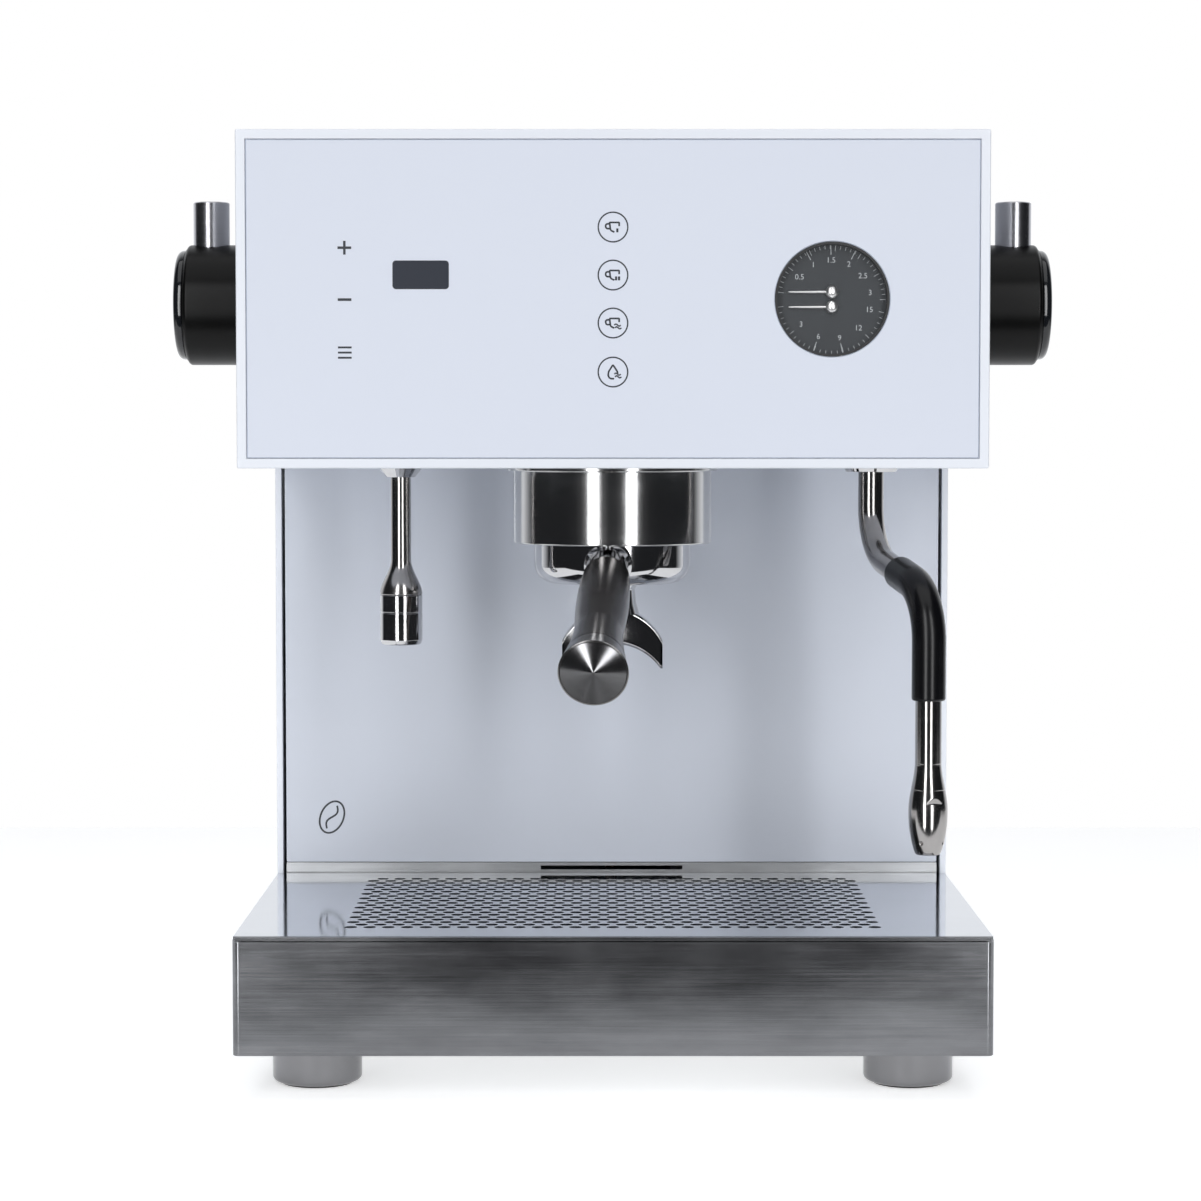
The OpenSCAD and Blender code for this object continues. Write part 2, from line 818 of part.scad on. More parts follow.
module bowl_profile(r, low, top, edge) {
    translate([0, low]) square([r - edge, top - low]);
    translate([0, low + edge]) square([r, top - low - edge]);
    translate([r - edge, low + edge]) circle(edge);
}

module portafilter_body() {
    inner = bowl_r - bowl_wall;
    color("silver")
    difference() {
        union() {
            at_group(0) rotate_extrude($fn = 96) bowl_profile(bowl_r, bowl_low, bowl_top, bowl_edge);
            at_group(ledge_top + 0.3) for (turn = [0, 180])
                rotate([0, 0, turn - ear_angle / 2 - handle_yaw])
                    rotate_extrude(angle = ear_angle)
                        translate([bowl_r - 2, 0]) square([ear_r - bowl_r + 2, ear_t]);
            along_handle(-6) cylinder(h = neck_l + 6, d = neck_d);
        }
        at_group(0) rotate_extrude() difference() {
            bowl_profile(inner, bowl_low + bowl_wall, bowl_top + 1, bowl_edge - bowl_wall);
            translate([-inner, 0]) square([inner, body_h]);
        }
        at_group(bowl_low - 1) cylinder(h = bowl_wall + 2, r = 4);
    }
}

module filter_basket() {
    wall = 0.8;
    r = basket_d / 2;
    low = bowl_low + bowl_wall + 3;
    color("silver")
    at_group(0) difference() {
        union() {
            translate([0, 0, low]) cylinder(h = bowl_top - low + eps, r = r);
            translate([0, 0, bowl_top]) cylinder(h = 1.1, r = bowl_r - 0.8);
        }
        translate([0, 0, low + wall]) cylinder(h = bowl_top - low + 2, r = r - wall);
        for (ring = [1 : 4], i = [0 : ring * 6 - 1])
            rotate([0, 0, i * 60 / ring]) translate([ring * 5.6, 0, low - 1]) cylinder(h = 3, d = 1.4, $fn = 16);
    }
}

// Round wire that holds the basket in the bowl
module basket_spring() {
    wire = 1.2;
    color("silver")
    at_group(bowl_top - 6) rotate([0, 0, 20]) rotate_extrude(angle = 320)
        translate([bowl_r - bowl_wall - wire / 2 - 0.2, 0]) circle(d = wire, $fn = 16);
}

handle_start = neck_l;
handle_end = handle_l - end_cap_l;

// Radius along the handle: a full start, a slim waist and a flared end
function handle_r(s) =
    let (t = clamp01((s - handle_start) / (handle_l - handle_start)),
         start = neck_d / 2 + 1.2,
         swell = 1.4 * sin(180 * clamp01(t / 0.62)) * (1 - 0.35 * t),
         flare = (handle_end_d / 2 - start) * pow(clamp01((t - 0.55) / 0.45), 1.7))
    start + swell + flare;

module turned(from, to, steps) {
    rotate_extrude(convexity = 4) polygon(concat(
        [[0, from]],
        [for (i = [0 : steps]) let (s = lerp(from, to, i / steps)) [handle_r(s), s]],
        [[0, to]]));
}

module portafilter_handle() {
    color("silver") along_handle(0) turned(handle_start, handle_end, 24);
}

module handle_cap() {
    rise = 0.8;
    color("gainsboro") along_handle(0) {
        turned(handle_end, handle_l - rise, 8);
        translate([0, 0, handle_l - rise])
            cylinder(h = rise, r1 = handle_r(handle_l - rise), r2 = handle_r(handle_l) - rise);
    }
}

spout_wall = 1.8;
spout_top = bowl_low - 11.5;         // crown of the arch
spout_tall = 16.5;                   // height of the channel at its middle

// Side view of one arch: an arc on top, the same arc lowered underneath
module arch(shrink) {
    r_top = spout_half * 1.1;
    r_low = spout_half * 1.17;
    difference() {
        intersection() {
            translate([0, spout_top - r_top]) circle(r_top - shrink, $fn = 96);
            translate([-spout_half, spout_top - r_top - 2.4]) square([2 * spout_half, 60]);
        }
        translate([0, spout_top - spout_tall - r_low]) circle(r_low - shrink, $fn = 96);
    }
}

module twin_spout() {
    color("silver")
    at_group(0) difference() {
        union() {
            rotate([90, 0, 0]) linear_extrude(spout_w, center = true) arch(0);
            translate([0, 0, spout_top - 4]) cylinder(h = bowl_low - spout_top + 4 - 0.05, r = 9.5);
        }
        rotate([90, 0, 0]) linear_extrude(spout_w - 2 * spout_wall, center = true)
            intersection() {
                arch(spout_wall);
                translate([-spout_half - 1, 0]) square([2 * spout_half + 2, spout_top - spout_wall]);
            }
        translate([0, 0, spout_top - 8]) cylinder(h = 30, r = 4);
    }
}

// ---- steam wand ----

// The bend lies in one upright plane; local +X is its direction.
bend_fall = wand_r * sin(wand_bend);
bend_out = wand_r * (1 - cos(wand_bend));
slant_l = (wand_reach - 2 * bend_out) / sin(wand_bend);
slant_from = [bend_out, -wand_drop - bend_fall];
slant_to = slant_from + slant_l * [sin(wand_bend), -cos(wand_bend)];
bend_low = slant_to[1] - bend_fall;          // end of the lower bend, from the ball

module wand_place() {
    translate([wand_x, outlet_y, ball_z(steam_ball)]) rotate([0, 0, wand_turn - 90]) children();
}

// A bend is a hair fuller than the straight runs and laps over their ends
module bend(centre, from, r) {
    lap = 1;
    translate([centre[0], 0, centre[1]]) rotate([90, 0, 0]) rotate([0, 0, from - lap])
        rotate_extrude(angle = wand_bend + 2 * lap, $fn = 96) translate([wand_r, 0]) circle(r + 0.02, $fn = 48);
}

module slant(from, r) {
    start = lerp(slant_from, slant_to, from);
    translate([start[0], 0, start[1]]) rotate([0, 180 - wand_bend, 0])
        cylinder(h = slant_l * (1 - from), r = r, $fn = 48);
}

// The lower half of the bend and the drop to a height below the ball
module wand_lower(from, low, r) {
    slant(from, r);
    bend(slant_to - wand_r * [cos(wand_bend), sin(wand_bend)], 0, r);
    translate([wand_reach, 0, low]) cylinder(h = bend_low - low, r = r, $fn = 48);
}

tip_top = tip_low + tip_l - ball_z(steam_ball);
wand_end = tip_top - 8;

module wand_solid(r, extra) {
    translate([0, 0, -wand_drop]) cylinder(h = wand_drop + extra, r = r, $fn = 48);
    bend([wand_r, -wand_drop], 180, r);
    wand_lower(0, wand_end - extra, r);
}

module steam_wand() {
    color("silver")
    wand_place() difference() {
        union() {
            wand_solid(wand_d / 2, 0);
            sphere(r = steam_ball[1]);
        }
        wand_solid(wand_d / 2 - outlet_wall, 12);
    }
}

module steam_grip() {
    color("black")
    wand_place() difference() {
        wand_lower(0.5, grip_low - ball_z(steam_ball), grip_d / 2);
        wand_lower(0.4, grip_low - ball_z(steam_ball) - 1, wand_d / 2 + 0.05);
    }
}

// Bulb profile: slim at the top, widest a little above the middle
function tip_r(t) = t < 0.52
    ? lerp(wand_d / 2, tip_d / 2, smooth(t / 0.52))
    : lerp(tip_d / 2, wand_d / 2 - 0.4, pow((t - 0.52) / 0.48, 2.4));

module steam_tip() {
    low = tip_low - ball_z(steam_ball);
    steps = 24;
    flat_z = low + tip_l * 0.6;
    color("silver")
    wand_place() translate([wand_reach, 0, 0]) difference() {
        rotate_extrude() polygon(concat(
            [[0, low], [wand_d / 2 - 1.4, low]],
            [for (i = [steps : -1 : 0]) [tip_r(i / steps * 0.98), tip_top - tip_l * i / steps * 0.98]],
            [[0, tip_top]]));
        translate([0, 0, tip_top - 8]) cylinder(h = 9, r = wand_d / 2);
        translate([0, 0, low + 5]) cylinder(h = tip_l, r = wand_d / 2 - outlet_wall);
        for (turn = [0 : 90 : 270]) rotate([0, 0, turn + 45]) translate([0, 0, low + 6])
            rotate([0, 150, 0]) cylinder(h = 12, r = 0.75, $fn = 16);
        for (side = [-1, 1])
            block([side > 0 ? tip_d / 2 - 1.6 : -tip_d, -tip_d, flat_z], [side > 0 ? tip_d : 1.6 - tip_d / 2, tip_d, flat_z + 6]);
    }
}

// ---- hot-water spout ----

module water_spout() {
    z = ball_z(water_ball);
    low = outlet_low + outlet_l;
    r = tube_d / 2;
    steps = 12;
    color("silver")
    translate([-spout_x, outlet_y, 0]) difference() {
        union() {
            translate([0, 0, low + flare_l]) cylinder(h = z - low - flare_l, r = r);
            translate([0, 0, z]) sphere(r = water_ball[1]);
            rotate_extrude() polygon(concat(
                [[0, low]],
                [for (i = [0 : steps]) [lerp(outlet_d / 2, r, smooth(i / steps)), low + flare_l * i / steps]],
                [[0, low + flare_l]]));
        }
        translate([0, 0, low - 1]) cylinder(h = z - low + 30, r = r - outlet_wall);
    }
}

module water_aerator() {
    r = outlet_d / 2;
    edge = 1.5;
    color("silver")
    translate([-spout_x, outlet_y, outlet_low]) difference() {
        rotate_extrude() {
            translate([0, edge]) square([r, outlet_l - edge]);
            square([r - edge, outlet_l]);
            translate([r - edge, edge]) circle(edge);
        }
        translate([0, 0, -1]) cylinder(h = outlet_l - 4 + 1, r = r - 2);
        for (i = [0 : 5]) rotate([0, 0, i * 60]) translate([r / 2 - 0.8, 0, 0]) cylinder(h = 40, r = 1, $fn = 16);
    }
}

// ---- water tank ----

module water_tank() {
    w = tank_w / 2;
    low = tank_top - tank_h;
    ear = 5;
    hinge_z = body_h - barrel_d / 2;
    color("lightsteelblue") {
        difference() {
            block([-w, tank_front, low], [w, tank_rear, tank_top]);
            block([tank_wall - w, tank_front + tank_wall, low + tank_wall],
                  [w - tank_wall, tank_rear - tank_wall, tank_top + 1]);
        }
        for (side = [-1, 1]) {
            block([side * (w - 12) - ear / 2, tank_rear - eps, hinge_z - 6],
                  [side * (w - 12) + ear / 2, tank_back + barrel_d / 2 - 0.4, hinge_z]);
            translate([0, tank_back, hinge_z])
                rod_x(side * (w - 12) - ear / 2, side * (w - 12) + ear / 2, barrel_d / 2 - 0.2);
        }
        translate([0, tank_back, hinge_z]) rod_x(-w + 12, w - 12, 1.5);
    }
}

module tank_lid() {
    w = tank_w / 2;
    hinge_z = body_h - barrel_d / 2;
    barrel = w - 12 - 2.5 - 0.4;
    color("white")
    difference() {
        union() {
            block([-w, tank_front, body_h - lid_t], [w, tank_rear - 0.3, body_h]);
            block([-barrel, tank_rear - 0.4, body_h - lid_t], [barrel, tank_back, body_h]);
            translate([0, tank_back, hinge_z]) rod_x(-barrel, barrel, barrel_d / 2);
        }
        translate([0, tank_back, hinge_z]) rod_x(-w, w, 1.5 + run_gap);
    }
}

// ---- inside ----

steam_y = bay_d + splash_t + 14 + steam_d / 2;
steam_z = floor_top + deck_up + 6 + steam_d / 2;
pipe_back = tank_front - 8;
boiler_top = steam_z + steam_d / 2 + 6;
feed_z = max(boiler_top + pipe_d + 4, head_top + 12 + pipe_d);   // above both the steam boiler and the flange
pipe_z = body_h - cup_deep - rim_t - pipe_d - 12;
pump_y = bay_d + 100;
pump_z = floor_top + 42;

module coffee_boiler() {
    r = coffee_d / 2;
    top = body_h - 36;
    color("silver")
    at_group(0) difference() {
        union() {
            translate([0, 0, head_top]) cylinder(h = 6, r = r + 2);
            translate([0, 0, head_top + 6]) cylinder(h = top - head_top - 12, r = r);
            translate([0, 0, top - 6]) cylinder(h = 6, r1 = r, r2 = r - 6);
            for (side = [-1, 1]) translate([side * 14, 0, top]) cylinder(h = 8, r = 3);
            translate([0, 0, feed_z]) rotate([-90, 0, 0]) cylinder(h = r + 5, r = pipe_d);
        }
        translate([0, 0, head_top - 1]) cylinder(h = 30, d = water_bore);
    }
}

module steam_boiler() {
    l = steam_l / 2;
    deck = floor_top + deck_up;
    color("silver")
    difference() {
        union() {
            translate([0, steam_y, steam_z]) {
                rod_x(6 - l, l - 6, steam_d / 2);
                for (side = [0, 1]) mirror([side, 0, 0]) translate([l - 6, 0, 0]) rotate([0, 90, 0])
                    cylinder(h = 6, r1 = steam_d / 2, r2 = steam_d / 2 - 8);
            }
            for (side = [-1, 1])
                block([side * l * 0.6 - 8, steam_y - 24, deck], [side * l * 0.6 + 8, steam_y + 24, steam_z - 30]);
            for (x = [-60, 60]) translate([x, steam_y, steam_z]) cylinder(h = steam_d / 2 + 6, r = pipe_d);
        }
    }
}

module pump() {
    l = 110;
    color("dimgray")
    translate([-70, pump_y, 0]) {
        translate([0, 0, pump_z]) {
            rod_x(-l / 2, l / 2, pump_d / 2);
            rod_x(l / 2, l / 2 + 12, pipe_d);
            rod_x(-l / 2 - 12, -l / 2, pipe_d);
        }
        block([-20, -18, floor_top], [20, 18, pump_z - pump_d / 2 + 6]);
    }
}

module control_box() {
    color("gray")
    difference() {
        block([30, pump_y - 60, floor_top + 14], [140, body_d - 50, floor_top + 110]);
        for (i = [0 : 5])
            block([50 + i * 14, pump_y - 61, floor_top + 40], [54 + i * 14, pump_y - 57, floor_top + 90]);
    }
    color("gray") for (x = [42, 128], y = [pump_y - 48, body_d - 62])
        translate([x, y, floor_top]) cylinder(h = 14, r = 5);
}

module pipes() {
    valve_top = axis_z + valve_d / 2;
    pump_end = [-70 + 55 + 12, pump_y, pump_z];
    color("orange") {
        for (run = [[60, wand_x], [-60, -spout_x]])
            pipe_run([[run[0], steam_y, boiler_top], [run[0], steam_y, pipe_z],
                      [run[1], knob_y, pipe_z], [run[1], knob_y, valve_top]], pipe_d);
        pipe_run([pump_end, [0, pump_y, pump_z], [0, pipe_back, pump_z], [0, pipe_back, feed_z],
                  [0, group_y + coffee_d / 2 + 5, feed_z]], pipe_d);
    }
}

// ---- mains inlet and switch ----

inlet_x = -110;
inlet_z = foot_h + 45;
inlet_w = 30;
inlet_h = 58;
rocker_w = 12;
rocker_h = 19;
rocker_z = inlet_z + 16;
rocker_rest = 6;

module power_inlet() {
    back = body_d - 0.2;
    color("black")
    difference() {
        block([inlet_x - inlet_w / 2, back - 32, inlet_z - inlet_h / 2], [inlet_x + inlet_w / 2, back, inlet_z + inlet_h / 2]);
        block([inlet_x - 12.2, back - 18, inlet_z - 22], [inlet_x + 12.2, back + 1, inlet_z - 5]);
        block([inlet_x - rocker_w / 2 - 0.5, back - 13, rocker_z - rocker_h / 2 - 1.2],
              [inlet_x + rocker_w / 2 + 0.5, back + 1, rocker_z + rocker_h / 2 + 1.2]);
    }
    color("silver") for (pin = [[-7, -11], [0, -15], [7, -11]])
        block([inlet_x + pin[0] - 1, back - 20, inlet_z + pin[1] - 2], [inlet_x + pin[0] + 1, back - 4, inlet_z + pin[1] + 2]);
}

module power_switch() {
    pivot = body_d - 6;
    color("black")
    translate([inlet_x, pivot, rocker_z]) rotate([-rocker_rest, 0, 0])
        translate([-rocker_w / 2, -3, -rocker_h / 2]) cube([rocker_w, 7, rocker_h]);
}

// ---- what is drawn ----

module placed() { translate([0, -centre_y, 0]) children(); }

placed() base_pan();
placed() side_panel_left();
placed() side_panel_right();
placed() rear_panel();
placed() top_cover();
placed() cup_tray();
placed() front_frame();
placed() front_glass();
placed() box_floor();
placed() backsplash();
placed() inner_frame();
placed() feet();
placed() foot_pads();
placed() display_board();
placed() gauge_housing();
placed() gauge_dial();
placed() gauge_lens();
placed() needle_upper();
placed() needle_lower();
placed() steam_knob();
placed() steam_knob_cap();
placed() steam_knob_peg();
placed() steam_spindle();
placed() steam_valve();
placed() water_knob();
placed() water_knob_cap();
placed() water_knob_peg();
placed() water_spindle();
placed() water_valve();
placed() group_head();
placed() group_cover();
placed() group_gasket();
placed() shower_screen();
placed() screws();
placed() portafilter_body();
placed() filter_basket();
placed() basket_spring();
placed() portafilter_handle();
placed() handle_cap();
placed() twin_spout();
placed() steam_ball_seat();
placed() steam_wand();
placed() steam_grip();
placed() steam_tip();
placed() water_ball_seat();
placed() water_spout();
placed() water_aerator();
placed() drip_tray();
placed() tray_front();
placed() drip_grille();
placed() water_tank();
placed() tank_lid();
placed() coffee_boiler();
placed() steam_boiler();
placed() pump();
placed() control_box();
placed() pipes();
placed() power_inlet();
placed() power_switch();
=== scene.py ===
"""A countertop espresso machine: its finished outer pieces and the finishes of all the rest.

Sizes are in millimetres: x across, depth from the front of the drip tray, and
height above the surface that the feet stand on. They become metres when a
shape is placed.
"""
import logging
import math
from dataclasses import dataclass
from enum import Enum
from typing import Any, Dict, List, Optional, Sequence, Tuple

import bmesh
import bpy
import numpy as np
from bpy.types import Material, Node, NodeSocket, Object
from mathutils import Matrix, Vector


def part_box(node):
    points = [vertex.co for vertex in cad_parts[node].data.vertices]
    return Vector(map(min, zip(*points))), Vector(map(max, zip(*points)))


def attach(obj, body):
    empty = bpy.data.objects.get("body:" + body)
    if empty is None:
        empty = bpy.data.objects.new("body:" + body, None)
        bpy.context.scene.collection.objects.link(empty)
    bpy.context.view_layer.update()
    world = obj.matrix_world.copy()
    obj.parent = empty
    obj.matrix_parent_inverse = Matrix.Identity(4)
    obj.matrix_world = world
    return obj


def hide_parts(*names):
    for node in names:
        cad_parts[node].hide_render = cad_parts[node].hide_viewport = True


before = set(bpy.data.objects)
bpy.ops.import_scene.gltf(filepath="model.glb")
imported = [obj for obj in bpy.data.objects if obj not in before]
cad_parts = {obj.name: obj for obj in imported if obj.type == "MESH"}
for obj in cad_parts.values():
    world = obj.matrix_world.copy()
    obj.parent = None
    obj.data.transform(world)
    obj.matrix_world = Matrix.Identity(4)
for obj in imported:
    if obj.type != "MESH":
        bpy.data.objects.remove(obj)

LOG = logging.getLogger("espresso_machine")
Array = np.ndarray
Colour = Tuple[float, float, float]

MM = 0.001
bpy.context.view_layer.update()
FRONT_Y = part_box("tray_front")[0].y      # where depth is nought
BODY_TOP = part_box("front_frame")[1].z / MM
BOX_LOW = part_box("front_frame")[0].z / MM
BASE_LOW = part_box("tray_front")[0].z / MM
BASE_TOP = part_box("drip_grille")[1].z / MM
HALF_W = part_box("front_frame")[1].x / MM
AXIS_Z = (BODY_TOP + BOX_LOW) / 2
GROUP_DEPTH = 108.0
KNOB_DEPTH = 107.0        # of both knobs' axes
KNOB_GAP = 0.8            # between a knob and its side panel
PEG_OUT = 19.3            # from a side panel to the middle of a peg
PLATE_T = 1.4             # of the drip plate
JOINT_DEPTH = 100.0       # of both outlets' ball joints
HANDLE_YAW = math.radians(3.3)
PANEL_INK = (0.028, 0.033, 0.043)


# ---------------------------------------------------------------- places

@dataclass(frozen=True)
class Place:
    """Where a shape stands: an origin in metres and the directions of its own three axes."""

    origin: Array
    across: Array
    along: Array
    up: Array

    def put(self, points: Array) -> Array:
        """Take points in a shape's own millimetres into the frame.

        Args:
            points: an array whose last axis holds x, y and z.

        Returns:
            The origin plus each coordinate times its axis, in metres.
        """
        return self.origin + (points * MM) @ np.stack([self.across, self.along, self.up])


X_AXIS, Y_AXIS, Z_AXIS = np.eye(3)


def spot(x: float, depth: float, height: float) -> Array:
    """A point in metres from millimetres across, behind the tray front and up."""
    return np.array([x * MM, FRONT_Y + depth * MM, height * MM])


def upright(x: float = 0, depth: float = 0, height: float = 0) -> Place:
    """A place whose axes are the frame's own."""
    return Place(spot(x, depth, height), X_AXIS, Y_AXIS, Z_AXIS)


def facing(x: float, depth: float, height: float) -> Place:
    """A place on a front wall: its third axis points out at the viewer."""
    return Place(spot(x, depth, height), X_AXIS, Z_AXIS, -Y_AXIS)


def sideways(side: int, x: float, depth: float, height: float) -> Place:
    """A place whose third axis points out of the left (-1) or the right (1) side."""
    return Place(spot(x, depth, height), side * Y_AXIS, Z_AXIS, side * X_AXIS)


# ---------------------------------------------------------------- outlines

def rounded(corners: Sequence[Tuple[float, float, float]], closed: bool = True,
            steps: int = 5) -> Array:
    """Round the corners of a path.

    A corner (x, y, r) becomes an arc of radius r that touches both of its
    sides: it starts r times the tangent of half the turn before the corner.

    Args:
        corners: x, y and radius of each corner, in order.
        closed: whether the last corner joins the first.
        steps: the number of pieces in each arc.

    Returns:
        The points of the path, one row each.
    """
    path: List[Array] = []
    count = len(corners)
    for i, (x, y, radius) in enumerate(corners):
        here = np.array([x, y], float)
        if radius <= 0 or (not closed and i in (0, count - 1)):
            path.append(here[None])
            continue
        before = np.array(corners[i - 1][:2], float) - here
        after = np.array(corners[(i + 1) % count][:2], float) - here
        before /= np.linalg.norm(before)
        after /= np.linalg.norm(after)
        half = math.acos(float(np.clip(before @ after, -1, 1))) / 2
        reach = radius / math.tan(half)
        centre = here + (before + after) / np.linalg.norm(before + after) * radius / math.sin(half)
        start, end = here + before * reach - centre, here + after * reach - centre
        first = math.atan2(start[1], start[0])
        sweep = (math.atan2(end[1], end[0]) - first + math.pi) % (2 * math.pi) - math.pi
        turn = first + sweep * np.linspace(0, 1, steps + 1)
        path.append(centre + radius * np.stack([np.cos(turn), np.sin(turn)], 1))
    return np.concatenate(path)


def inset(outline: Array, distance: float) -> Array:
    """Move a closed anticlockwise outline inwards.

    Each point moves along the sum of its two sides' normals, divided by one
    plus their dot product, so that both sides move by the distance.
    """
    ahead = np.roll(outline, -1, 0) - outline
    ahead /= np.linalg.norm(ahead, axis=1, keepdims=True)
    normal = np.stack([-ahead[:, 1], ahead[:, 0]], 1)
    last = np.roll(normal, 1, 0)
    return outline + distance * (normal + last) / (1 + (normal * last).sum(1, keepdims=True))


def box_outline(low: Tuple[float, float], high: Tuple[float, float], radius: float) -> Array:
    """A rectangle with rounded corners, anticlockwise."""
    (x1, y1), (x2, y2) = low, high
    return rounded([(x1, y1, radius), (x2, y1, radius), (x2, y2, radius), (x1, y2, radius)])


def full_turn(steps: int) -> Array:
    """Even angles round a circle, without the last one."""
    return np.linspace(0, 2 * math.pi, steps, endpoint=False)


def quarter_turn(count: int) -> Array:
    """A number of even angles from 0 to a right angle."""
    return np.linspace(0, math.pi / 2, count)


def ease(t: Array) -> Array:
    """A smooth rise from 0 to 1: three times t squared less two times t cubed."""
    t = np.clip(t, 0, 1)
    return t * t * (3 - 2 * t)


def linked(name: str, data: Any) -> Object:
    """Make an object of some data and link it to the scene."""
    made = bpy.data.objects.new(name, data)
    bpy.context.scene.collection.objects.link(made)
    return made


# ---------------------------------------------------------------- shapes

class Shape:
    """Points and faces gathered from surfaces on grids, in metres."""

    def __init__(self) -> None:
        """Start with nothing."""
        self.points: List[Array] = []
        self.faces: List[List[int]] = []
        self.finishes: List[int] = []
        self.count = 0

    def _keep(self, points: Array) -> Array:
        """Store points and return their numbers in the grid's shape."""
        number = np.arange(points[..., 0].size).reshape(points.shape[:-1]) + self.count
        self.points.append(points.reshape(-1, 3))
        self.count += number.size
        return number

    def grid(self, points: Array, closed_rows: bool = False, closed_columns: bool = True,
             finish: int = 0, caps: bool = False) -> "Shape":
        """Add a surface of two parameters.

        Args:
            points: rows by columns by 3, in metres.
            closed_rows: whether the last row joins the first.
            closed_columns: whether the last column joins the first.
            finish: which of the piece's finishes it has.
            caps: whether the first and last rows are closed by flat faces.

        Returns:
            This shape.
        """
        number = self._keep(points)
        if caps:
            self.faces += [number[0, ::-1].tolist(), number[-1].tolist()]
            self.finishes += [finish] * 2
        if closed_rows:
            number = np.vstack([number, number[:1]])
        if closed_columns:
            number = np.hstack([number, number[:, :1]])
        quads = np.stack([number[:-1, :-1], number[:-1, 1:], number[1:, 1:], number[1:, :-1]], -1)
        quads = quads.reshape(-1, 4).tolist()
        self.faces += quads
        self.finishes += [finish] * len(quads)
        return self

    def turn(self, place: Place, profile: Array, steps: int = 96, finish: int = 0,
             closed: bool = False) -> "Shape":
        """Add a surface of revolution about a place's third axis.

        The point at angle a is radius times cosine a, radius times sine a, and
        the height.

        Args:
            place: where it stands.
            profile: rows of radius and height.
            steps: pieces round the circle.
            finish: which of the piece's finishes it has.
            closed: whether the profile's end joins its start.
        """
        angle = full_turn(steps)
        radius, height = profile[:, :1], profile[:, 1:]
        points = np.stack([radius * np.cos(angle), radius * np.sin(angle), height + 0 * angle], -1)
        return self.grid(place.put(points), closed_rows=closed, finish=finish)

    def slab(self, place: Place, outline: Array, low: float, high: float, edge: float,
             steps: int = 3, finish: int = 0) -> "Shape":
        """Add a plate with rounded edges.

        The outline rises from the low face to the high face. Near a face it is
        inset by the edge radius less its cosine part, which makes a quarter round.

        Args:
            place: its outline lies in the first two axes.
            outline: anticlockwise points.
            low: height of one face.
            high: height of the other.
            edge: radius of the edges.
            steps: pieces in each edge.
            finish: which of the piece's finishes it has.
        """
        quarter = quarter_turn(steps + 1)
        inward = np.concatenate([edge * (1 - np.sin(quarter)), edge * (1 - np.cos(quarter))])
        height = np.concatenate([low + edge * (1 - np.cos(quarter)), high - edge * (1 - np.sin(quarter))])
        rows = [np.column_stack([inset(outline, d), np.full(len(outline), h)]) for d, h in zip(inward, height)]
        return self.grid(place.put(np.stack(rows)), finish=finish, caps=True)

    def stroke(self, place: Place, path: Array, width: float, thick: float, closed: bool = False,
               finish: int = 0) -> "Shape":
        """Add a flat line of even width that follows a path.

        Each point of the path moves half the width to either side along its
        normal, on the surface and at the line's own thickness above it.

        Args:
            place: the path lies in its first two axes.
            path: rows of x and y.
            width: width of the line.
            thick: how far it stands off the surface.
            closed: whether the path is a loop.
            finish: which of the piece's finishes it has.
        """
        if closed:
            ahead, back = np.roll(path, -1, 0), np.roll(path, 1, 0)
        else:
            ahead = np.vstack([path[1:], 2 * path[-1:] - path[-2:-1]])
            back = np.vstack([2 * path[:1] - path[1:2], path[:-1]])
        one = (path - back) / np.linalg.norm(path - back, axis=1, keepdims=True)
        two = (ahead - path) / np.linalg.norm(ahead - path, axis=1, keepdims=True)
        mean = np.stack([-(one + two)[:, 1], (one + two)[:, 0]], 1)
        mean = mean / (1 + (one * two).sum(1, keepdims=True)) * width / 2
        corner = [(path + mean, 0), (path - mean, 0), (path - mean, thick), (path + mean, thick)]
        rows = np.stack([np.column_stack([p, np.full(len(p), h)]) for p, h in corner], 1)
        return self.grid(place.put(rows), closed_rows=closed, finish=finish, caps=not closed)

    def tube(self, place: Place, rail: Array, radius: Array, steps: int = 48, finish: int = 0) -> "Shape":
        """Carry a circle along a rail that lies in the place's first and third axes.

        A ring stands square to the rail: its two directions are the rail's own
        normal in that plane and the place's second axis.

        Args:
            place: where it stands.
            rail: rows of x, z, and the rail's direction in x and z.
            radius: the circle's radius at each row.
            steps: pieces round the circle.
            finish: which of the piece's finishes it has.
        """
        angle = full_turn(steps)
        out, side = np.cos(angle) * radius[:, None], np.sin(angle) * radius[:, None]
        x = rail[:, :1] + rail[:, 3:] * out
        z = rail[:, 1:2] - rail[:, 2:3] * out
        return self.grid(place.put(np.stack([x, side, z], -1)), finish=finish)

    def made(self, name: str, materials: Sequence[Material], sharp: float = 35) -> Object:
        """Make the object.

        Points that meet are joined, normals face out, and edges that turn more
        than the sharp angle stay crisp.

        Args:
            name: the piece's name.
            materials: its finishes in order.
            sharp: angle in degrees.

        Returns:
            The object at the origin.
        """
        mesh = bpy.data.meshes.new(name)
        mesh.from_pydata(np.concatenate(self.points).tolist(), [], self.faces)
        mesh.polygons.foreach_set("material_index", np.array(self.finishes, np.int32))
        work = bmesh.new()
        work.from_mesh(mesh)
        bmesh.ops.remove_doubles(work, verts=work.verts, dist=2e-6)
        bmesh.ops.recalc_face_normals(work, faces=work.faces)
        work.to_mesh(mesh)
        work.free()
        mesh.shade_smooth()
        mesh.set_sharp_from_angle(angle=math.radians(sharp))
        for material in materials:
            mesh.materials.append(material)
        piece = linked(name, mesh)
        weighted = piece.modifiers.new("faces", "WEIGHTED_NORMAL")
        weighted.keep_sharp = True
        weighted.weight = 80
        return piece


